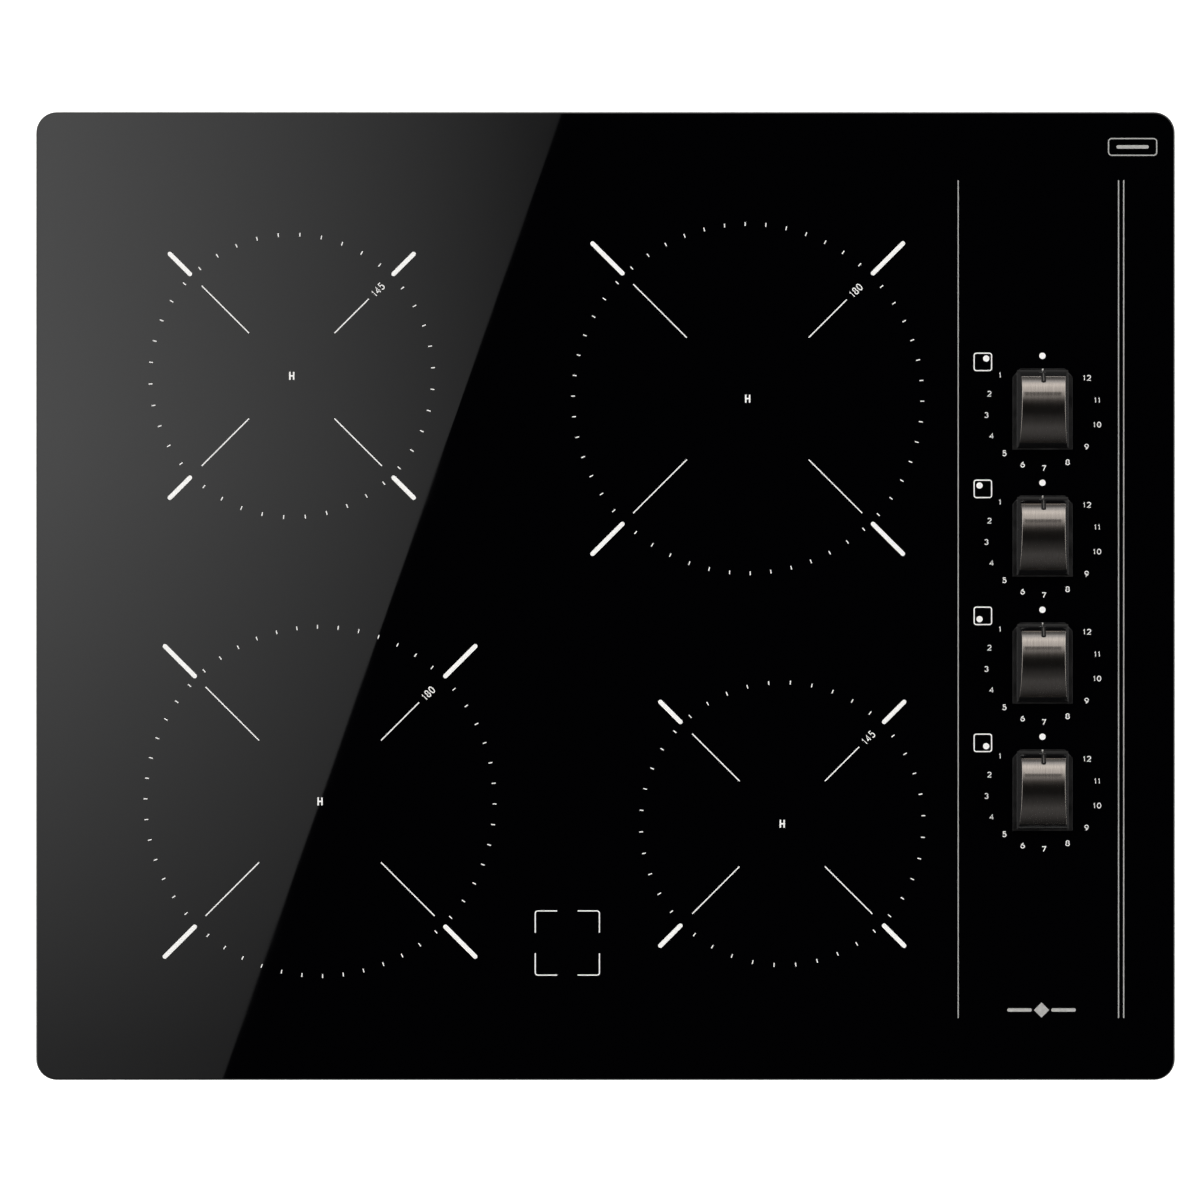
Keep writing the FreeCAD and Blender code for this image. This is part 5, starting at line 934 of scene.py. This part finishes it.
# %% Copying a node
def surface(node, material, body="root", sharp=30, rounding=0.0):
    """A merged, smoothly shaded copy of a CAD node, with its moulded edges rounded if rounding is given."""
    mesh = frame["nodes"][node].data.copy()
    mesh.name = f"{node}_surface"
    mesh.materials.clear()
    mesh.materials.append(material)
    work = bmesh.new()
    work.from_mesh(mesh)
    bmesh.ops.remove_doubles(work, verts=work.verts, dist=0.002 * MM)
    if rounding:
        bmesh.ops.dissolve_limit(work, angle_limit=math.radians(1), verts=work.verts, edges=work.edges)
    work.to_mesh(mesh)
    work.free()
    if mesh.has_custom_normals:
        mesh.attributes.remove(mesh.attributes["custom_normal"])
    mesh.shade_smooth()
    mesh.set_sharp_from_angle(angle=math.radians(sharp))
    made = bpy.data.objects.new(mesh.name, mesh)
    bpy.context.scene.collection.objects.link(made)
    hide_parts(node)
    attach(made, body)
    if rounding:
        return soften(made, rounding, 2)
    made.modifiers.new("Flat stays flat", "WEIGHTED_NORMAL").keep_sharp = True
    return made


print("surface() ready")

# %% [markdown]
# ## Sheet metal
# The tray, the frame and the bracket are zinc-coated steel. Zinc freezes on the sheet in flat crystals a
# few millimetres wide, each with its own tilt, so under one light some are pale and some grey: that is
# the spangle. A Voronoi pattern gives every crystal one random number, and that number sets its colour,
# its gloss and a small tilt. The coil carriers are mill-finish aluminium, which shows faint rolling
# lines and no crystals. Springs and screws are plated, each brighter or darker by its coating.

# %% Metal finishes
SPANGLE, ROLL_LINE, ROLL_LONG = 7 * MM, 0.5 * MM, 60 * MM    # rolling lines drawn coarser than 0.1 mm

zinc, tree, shader = finish("zinc_coated_steel_sheet", "#a9adae", Metallic=1.0)
where = place_nodes(tree)
crystal = add(tree, "ShaderNodeTexVoronoi", {"Vector": where, "Scale": 1 / SPANGLE})
tone = add(tree, "ShaderNodeSeparateColor", {"Color": crystal.outputs["Color"]}).outputs
tinted(tree, shader, tone["Red"], "#989c9e", "#b9bcbc")
gloss = add(tree, "ShaderNodeMapRange", {"Value": tone["Green"], "To Min": 0.3, "To Max": 0.46})
tree.links.new(gloss.outputs["Result"], shader.inputs["Roughness"])
uneven = add(tree, "ShaderNodeMath", {0: tone["Blue"], 1: noise(tree, where, 1.2 * MM)}, operation="ADD")
relief(tree, shader, uneven.outputs[0], 0.006 * MM)

aluminium, tree, shader = finish("mill_finish_aluminium", "#cfd1d2", Metallic=1.0)
rolled = noise(tree, place_nodes(tree, (1.0, ROLL_LINE / ROLL_LONG, 1.0)), ROLL_LINE, 4, 0.6)
glossed(tree, shader, rolled, 0.26, 0.38)
tinted(tree, shader, rolled, "#c3c6c8", "#d9dadb")
relief(tree, shader, rolled, 0.003 * MM)


def plated(name, dark, pale, rough):
    """A plated steel finish: the coating clouds a little, which changes its colour and its gloss."""
    made, tree, shader = finish(name, pale, Metallic=1.0)
    cloud = noise(tree, place_nodes(tree), 2.5 * MM, 5, 0.6)
    tinted(tree, shader, cloud, dark, pale)
    glossed(tree, shader, cloud, rough, rough + 0.12)
    grained(tree, shader, 0.4 * MM, 0.004 * MM)
    return made


bright_zinc = plated("bright_zinc_plated_steel", "#b9bab3", "#d3d3cc", 0.2)
blued_spring = plated("oiled_spring_steel", "#6f7376", "#8f9395", 0.24)

for node in ("bottom_tray", "support_frame", "control_bracket"):
    surface(node, zinc)
for node in ("heat_sink", "coil_carrier_left", "coil_carrier_right"):
    surface(node, aluminium)
for number in "1234":
    surface(f"knob_clip_{number}", blued_spring, f"knob_{number}")
print("spangle", SPANGLE / MM, "mm")

# %% [markdown]
# ## Side screws and fixing springs
# Eight sheet screws hold the tray. A real one has a domed head with a cross recess, so each is a revolved
# profile whose head is pressed in along a cross: the depth at a point is the product of two soft steps,
# one for being near an arm's line and one for being near the middle. The four leaf springs that grip the
# worktop are a strip bent in soft curves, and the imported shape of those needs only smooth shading.

# %% Screws
SCREW_HEAD, SCREW_HEAD_HIGH, SCREW_SHANK, SCREW_LONG = 3.6 * MM, 2.0 * MM, 1.45 * MM, 9 * MM
THREAD_PITCH, THREAD_DEEP, AROUND = 1.3 * MM, 0.25 * MM, 32
RECESS_ARM, RECESS_REACH, RECESS_DEEP, RECESS_SIDE, RECESS_END = (n * MM for n in (0.5, 2.1, 1.1, 0.2, 0.3))
CELL = 10 * MM    # screw tips further apart than this belong to different screws


def screw(top):
    """A screw along +X that ends at top: a thread, and beyond it a domed head with a cross recess.

    The dome's radius falls as the cosine and its height rises as the sine of one angle.
    """
    angle = np.arange(AROUND) * 2 * np.pi / AROUND
    rings = []
    for x in np.arange(top - SCREW_LONG, top - SCREW_HEAD_HIGH, THREAD_PITCH / 6):
        wave = SCREW_SHANK - THREAD_DEEP * np.abs(np.mod(x / THREAD_PITCH + angle / (2 * np.pi), 1) * 2 - 1)
        rings.append(np.column_stack([np.full(AROUND, x), wave * np.cos(angle), wave * np.sin(angle)]))
    rings.insert(0, rings[0] * [1, 1e-6, 1e-6])
    for climb in np.linspace(0, 1, 14) * math.pi / 2:
        across = SCREW_HEAD * math.cos(climb)
        y, z = across * np.cos(angle), across * np.sin(angle)
        arm = np.clip((RECESS_ARM - np.minimum(np.abs(y), np.abs(z))) / RECESS_SIDE, 0, 1)
        dip = RECESS_DEEP * arm * np.clip((RECESS_REACH - across) / RECESS_END, 0, 1)
        rings.append(np.column_stack([top - SCREW_HEAD_HIGH * (1 - math.sin(climb)) - dip, y, z]))
    return wall(*rings)


screw_level = middle("side_screws")[2]
found = vertex_places(frame["nodes"]["side_screws"].data)
screws = []
for axis in (0, 1):
    out = abs(corners_of("side_screws")[1][axis])
    for way in (-1, 1):
        tips = found[found[:, axis] * way > out - 1 * MM][:, 1 - axis]
        cells = np.round(tips / CELL)
        spots = np.unique(cells)
        for group in np.split(spots, np.where(np.diff(spots) > 1.5)[0] + 1):
            near = tips[np.isin(cells, group)]
            points, faces = screw(out)
            turned = np.zeros_like(points)
            turned[:, axis] = points[:, 0] * way
            turned[:, 1 - axis] = points[:, 1] * way * (1 - 2 * axis) + (near.min() + near.max()) / 2
            turned[:, 2] = points[:, 2] + screw_level
            screws.append((turned, faces))
piece("sheet_screws", *join(screws), bright_zinc, "screw_steel", replaces=["side_screws"], sharp=40)
print(len(screws), "screws at z", round(screw_level / MM, 1), "mm")

# %% Fixing springs
springs = surface("fixing_springs", blued_spring, sharp=60)
print("fixing springs:", len(springs.data.polygons), "faces")

# %% [markdown]
# ## Carrier springs and coil windings
# Both are wire wound on a line: a helix for the springs, a flat spiral for the coils. A tube carried
# along the line would do for the spring. The coil's wire is litz, a rope of many varnished strands, so
# its section has seven lobes and turns as it goes along, which leaves the slanting ridges of a rope.

# %% Wound wires
CARRIER_SPRING, SPRING_WIRE, SPRING_PITCH, SPRING_INSET = 6 * MM, 0.6 * MM, 8 * MM, 13 * MM
LITZ, LITZ_GAP, LITZ_LAY, LITZ_STEP, HOLE_RADIUS = 1.5 * MM, 0.3 * MM, 26 * MM, 2.1 * MM, 20 * MM
LITZ_LOBES, LOBE_DEEP, SPRING_STEPS = 7, 0.07, 28


def wire(path, radius, sides, lobes=0, lay=1.0):
    """A closed tube along a path: each section stands square to it and turns once in each lay length."""
    way = np.gradient(path, axis=0)
    way /= np.linalg.norm(way, axis=1)[:, None]
    across = np.cross(way, [0.0, 0.0, 1.0])
    across /= np.linalg.norm(across, axis=1)[:, None]
    up = np.cross(across, way)
    along = np.concatenate([[0], np.cumsum(np.linalg.norm(np.diff(path, axis=0), axis=1))])
    column = np.arange(sides) * 2 * np.pi / sides
    swell = radius * (1 - (LOBE_DEEP * (1 - np.cos(lobes * column)) if lobes else 0 * column))
    turn = column[None, :] + (2 * np.pi * along / lay if lobes else 0 * along)[:, None]
    points = (path[:, None] + swell[None, :, None] * (np.cos(turn)[..., None] * across[:, None]
                                                      + np.sin(turn)[..., None] * up[:, None]))
    points = np.concatenate([[np.broadcast_to(path[0], (sides, 3))], points,
                             [np.broadcast_to(path[-1], (sides, 3))]])
    return points.reshape(-1, 3), grid_faces(len(points), sides, wrap=True)


spring_low, spring_high = corners_of("carrier_springs")
turns = (spring_high[2] - spring_low[2] - 2 * SPRING_WIRE) / SPRING_PITCH
climb = np.linspace(0, 1, int(turns * SPRING_STEPS))
rows_y = (spring_low[1] + CARRIER_SPRING + SPRING_WIRE, spring_high[1] - CARRIER_SPRING - SPRING_WIRE)
springs = []
for side in ("left", "right"):
    low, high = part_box(f"coil_carrier_{side}")
    for x in (low[0] + SPRING_INSET, high[0] - SPRING_INSET):
        for y in rows_y:
            angle = 2 * np.pi * turns * climb
            helix = np.column_stack([x + CARRIER_SPRING * np.cos(angle), y + CARRIER_SPRING * np.sin(angle),
                                     spring_low[2] + SPRING_WIRE + (turns * SPRING_PITCH) * climb])
            springs.append(wire(helix, SPRING_WIRE, 8))
piece("carrier_spring_coils", *join(springs), blued_spring, "spring_steel", replaces=["carrier_springs"])

varnish, tree, shader = finish("varnished_copper_litz", "#a8552c", Roughness=0.3, Metallic=0.75)
where = place_nodes(tree)
tinted(tree, shader, spread(tree, noise(tree, where, 3 * MM, 4), 0, 1), "#8f4523", "#bd6a3c")
glossed(tree, shader, noise(tree, where, 5 * MM), 0.22, 0.42)
relief(tree, shader, noise(tree, where, 0.3 * MM, 2), 0.02 * MM)

for zone in ZONES:
    centre, level = middle(f"mica_disc_{zone}"), middle(f"coil_winding_{zone}")[2]
    first = HOLE_RADIUS + LITZ
    last = half_size(f"coil_winding_{zone}")[0] - LITZ - (2 * LITZ + LITZ_GAP) / 4
    count, widen = (last - first) / (2 * LITZ + LITZ_GAP), (2 * LITZ + LITZ_GAP) / (2 * np.pi)
    along = np.arange(0, (last ** 2 - first ** 2) / (2 * widen), LITZ_STEP)
    angle = (np.sqrt(first ** 2 + 2 * widen * along) - first) / widen
    radius = first + widen * angle
    spiral = np.column_stack([centre[0] + radius * np.cos(angle), centre[1] + radius * np.sin(angle),
                              np.full(len(angle), level)])
    made = piece(f"litz_coil_{zone}", *wire(spiral, LITZ, 2 * LITZ_LOBES, LITZ_LOBES, LITZ_LAY), varnish,
                 "litz_copper", replaces=[f"coil_winding_{zone}"], sharp=80)
    print(made.name, round(count, 1), "turns,", len(made.data.polygons), "faces")

# %% [markdown]
# ## Moulded plastics
# Injection-moulded parts take the grain of their steel mould: a fine even roughness, with a little gloss
# left between the grains, and colour that hardly varies. One function makes the family, and each finish
# sets its colour, its gloss and its grain. The glass-filled former shows short pale fibres as well.


# %% Plastic finishes
def moulded(name, dark, pale, rough, grain, deep=0.012 * MM, **sockets):
    """Moulded plastic: clouds of colour 12 mm wide, and grain of the given size as bump and gloss."""
    made, tree, shader = finish(name, pale, IOR=1.5, **sockets)
    where = place_nodes(tree)
    tinted(tree, shader, noise(tree, where, 12 * MM, 2), dark, pale)
    texture = noise(tree, where, grain, 2, 0.6)
    glossed(tree, shader, texture, rough - 0.06, rough + 0.08)
    relief(tree, shader, texture, deep)
    return made


GRAIN = 0.45 * MM    # the real mould grain is about 0.1 mm, drawn coarser to show
black_plastic = moulded("grained_black_polyamide", "#151516", "#1e1e20", 0.5, GRAIN)
grey_plastic = moulded("grained_grey_polypropylene", "#8d9092", "#9b9ea0", 0.52, GRAIN)
ivory_plastic = moulded("ivory_polyamide", "#dcd8cb", "#e6e2d6", 0.42, GRAIN)
shaft_plastic = moulded("natural_polyamide", "#d3d0c3", "#dfdccf", 0.36, 0.8 * MM, Subsurface_Weight=0.05)
sensor_ceramic = moulded("steatite_ceramic", "#dcd4c6", "#ece5d8", 0.6, 0.35 * MM)
case_plastic = moulded("component_epoxy_case", "#232327", "#303036", 0.4, 0.6 * MM)
fan_plastic = moulded("satin_black_fan_plastic", "#121213", "#1a1a1c", 0.38, 0.7 * MM, 0.006 * MM)

former_plastic, tree, shader = finish("glass_filled_polyester", "#2b2b2c", Roughness=0.6, IOR=1.52)
where = place_nodes(tree, (1.0, 0.12, 1.0))
fibre = spread(tree, noise(tree, where, 0.35 * MM, 2), -1.2, 1)
tinted(tree, shader, fibre, "#262627", "#4a4a4b")
relief(tree, shader, fibre, 0.008 * MM)

surface("terminal_box", grey_plastic, rounding=0.35 * MM)
surface("terminal_cover", grey_plastic, "terminal_door", rounding=0.35 * MM)
surface("terminal_block", ivory_plastic)
surface("inlet_bush", black_plastic)
surface("potentiometers", case_plastic)
surface("board_parts", case_plastic)
surface("temperature_sensors", sensor_ceramic)
surface("fan_housing", fan_plastic)
surface("fan_rotor", fan_plastic, "fan")
for zone in ZONES:
    surface(f"coil_former_{zone}", former_plastic)
for number in "1234":
    surface(f"control_shaft_{number}", shaft_plastic, f"knob_{number}")
print("mould grain drawn at", GRAIN / MM, "mm")

# %% [markdown]
# ## Seals, rubber and sleeves
# The worktop seal is closed-cell foam tape: its cut face shows tiny bubbles, and it eats light. The bead
# that glues the glass to its frame is silicone, satin and slightly wavy where the nozzle passed. The
# leads wear a woven glass sleeve soaked in silicone, so they show a braid of slanting threads.

# %% Soft finishes
BUBBLE, BRAID = 0.9 * MM, 1.1 * MM    # real bubbles are 0.3 mm and threads 0.4 mm, drawn coarser to show

foam, tree, shader = finish("closed_cell_foam_tape", "#1b1b1c", Roughness=0.95, Sheen_Weight=0.15)
cells = add(tree, "ShaderNodeTexVoronoi", {"Vector": place_nodes(tree), "Scale": 1 / BUBBLE})
tinted(tree, shader, cells.outputs["Distance"], "#111112", "#2b2b2d")
relief(tree, shader, cells.outputs["Distance"], 0.12 * MM)

silicone, tree, shader = finish("satin_silicone_bead", "#2d2d30", Roughness=0.34, IOR=1.43)
grained(tree, shader, 6 * MM, 0.15 * MM, 2)
glossed(tree, shader, noise(tree, place_nodes(tree), 3 * MM), 0.26, 0.44)

rubber, tree, shader = finish("moulded_black_rubber", "#161616", Roughness=0.62, IOR=1.5, Sheen_Weight=0.1)
bloom = noise(tree, place_nodes(tree), 4 * MM, 4)
tinted(tree, shader, bloom, "#101010", "#1f1f20")
glossed(tree, shader, bloom, 0.55, 0.72)
grained(tree, shader, 0.5 * MM, 0.01 * MM)

sleeve, tree, shader = finish("silicone_glass_sleeve", "#8e2f22", Roughness=0.55, Sheen_Weight=0.1)
where = place_nodes(tree)
threads = [add(tree, "ShaderNodeTexWave", {"Vector": add(tree, "ShaderNodeMapping", {
    "Vector": where, "Rotation": (0.6, 0.4, angle)}).outputs["Vector"], "Scale": 1 / BRAID / 3.2})
    for angle in (0.8, -0.8)]
braid = add(tree, "ShaderNodeMath", {0: threads[0].outputs["Fac"], 1: threads[1].outputs["Fac"]},
            operation="MAXIMUM")
tinted(tree, shader, braid.outputs[0], "#6d2018", "#a23a2b")
relief(tree, shader, braid.outputs[0], 0.08 * MM)

surface("worktop_seal", foam)
surface("adhesive_bead", silicone)
surface("shaft_seals", rubber)
surface("wiring", sleeve, sharp=50)
print("foam bubbles", BUBBLE / MM, "mm, braid", BRAID / MM, "mm")

# %% [markdown]
# ## Boards, ferrite, mica and lamps
# A circuit board is green solder resist over copper tracks, so the tracks show as paler ridges. Each
# square of a coarse grid picks at random whether its tracks run left to right or front to back. Ferrite
# is sintered powder, dark and dull with bright specks. Mica sheet is pressed flakes, golden and layered.

# %% Electrical finishes
TRACK, BLOCK, FLAKE = 1.6 * MM, 11 * MM, 4 * MM

board_resist, tree, shader = finish("green_solder_resist", "#1d5a34", Roughness=0.28, IOR=1.5,
                                    Coat_Weight=0.4)
where = place_nodes(tree)
axes = add(tree, "ShaderNodeSeparateXYZ", {"Vector": where}).outputs
blocks = add(tree, "ShaderNodeTexVoronoi", {"Vector": where, "Scale": 1 / BLOCK}, distance="MANHATTAN")
pick = add(tree, "ShaderNodeSeparateColor", {"Color": blocks.outputs["Color"]}).outputs["Red"]
way = add(tree, "ShaderNodeMath", {0: pick, 1: 0.5}, operation="GREATER_THAN")
lane = add(tree, "ShaderNodeMix", {"Factor": way.outputs[0]}, data_type="FLOAT")
tree.links.new(axes["X"], lane.inputs["A"])
tree.links.new(axes["Y"], lane.inputs["B"])
phase = add(tree, "ShaderNodeMath", {0: lane.outputs["Result"], 1: 2 * math.pi / TRACK},
            operation="MULTIPLY")
ripple = add(tree, "ShaderNodeMath", {0: phase.outputs[0]}, operation="SINE")
track = add(tree, "ShaderNodeMapRange", {"Value": ripple.outputs[0], "From Min": 0.1, "From Max": 0.3})
tinted(tree, shader, track.outputs["Result"], "#174c2b", "#2c7a48")
relief(tree, shader, track.outputs["Result"], 0.035 * MM)

ferrite, tree, shader = finish("sintered_ferrite", "#39393c", Roughness=0.7, Metallic=0.2)
where = place_nodes(tree)
speck = spread(tree, noise(tree, where, 0.5 * MM, 4, 0.7), -0.4, 1)
tinted(tree, shader, speck, "#2c2c2f", "#55555a")
glossed(tree, shader, noise(tree, where, 1 * MM), 0.5, 0.8)
relief(tree, shader, noise(tree, where, 0.6 * MM, 3), 0.04 * MM)

mica, tree, shader = finish("pressed_mica_sheet", "#b9a988", Roughness=0.4, Coat_Weight=0.3, IOR=1.58)
flakes = add(tree, "ShaderNodeTexVoronoi", {"Vector": place_nodes(tree), "Scale": 1 / FLAKE, "Detail": 2.0})
tone = add(tree, "ShaderNodeSeparateColor", {"Color": flakes.outputs["Color"]}).outputs
tinted(tree, shader, tone["Red"], "#a39170", "#cdbf9f")
gloss = add(tree, "ShaderNodeMapRange", {"Value": tone["Green"], "To Min": 0.22, "To Max": 0.5})
tree.links.new(gloss.outputs["Result"], shader.inputs["Roughness"])
relief(tree, shader, tone["Blue"], 0.02 * MM)

lamp_red, tree, shader = finish("tinted_red_lamp", "#7a0d0a", Roughness=0.15, IOR=1.49, Coat_Weight=0.5,
                                Transmission_Weight=0.3)
tinted(tree, shader, noise(tree, place_nodes(tree), 1.5 * MM), "#650806", "#8f1511")
grained(tree, shader, 0.6 * MM, 0.004 * MM)

for node in ("power_board", "control_board", "indicator_board"):
    surface(node, board_resist)
surface("ferrite_bars", ferrite)
for zone in ZONES:
    surface(f"mica_disc_{zone}", mica)
surface("indicator_lamps", lamp_red)
left = [name for name, node in frame["nodes"].items() if not node.hide_render]
print("nodes still shown as packed:", left)
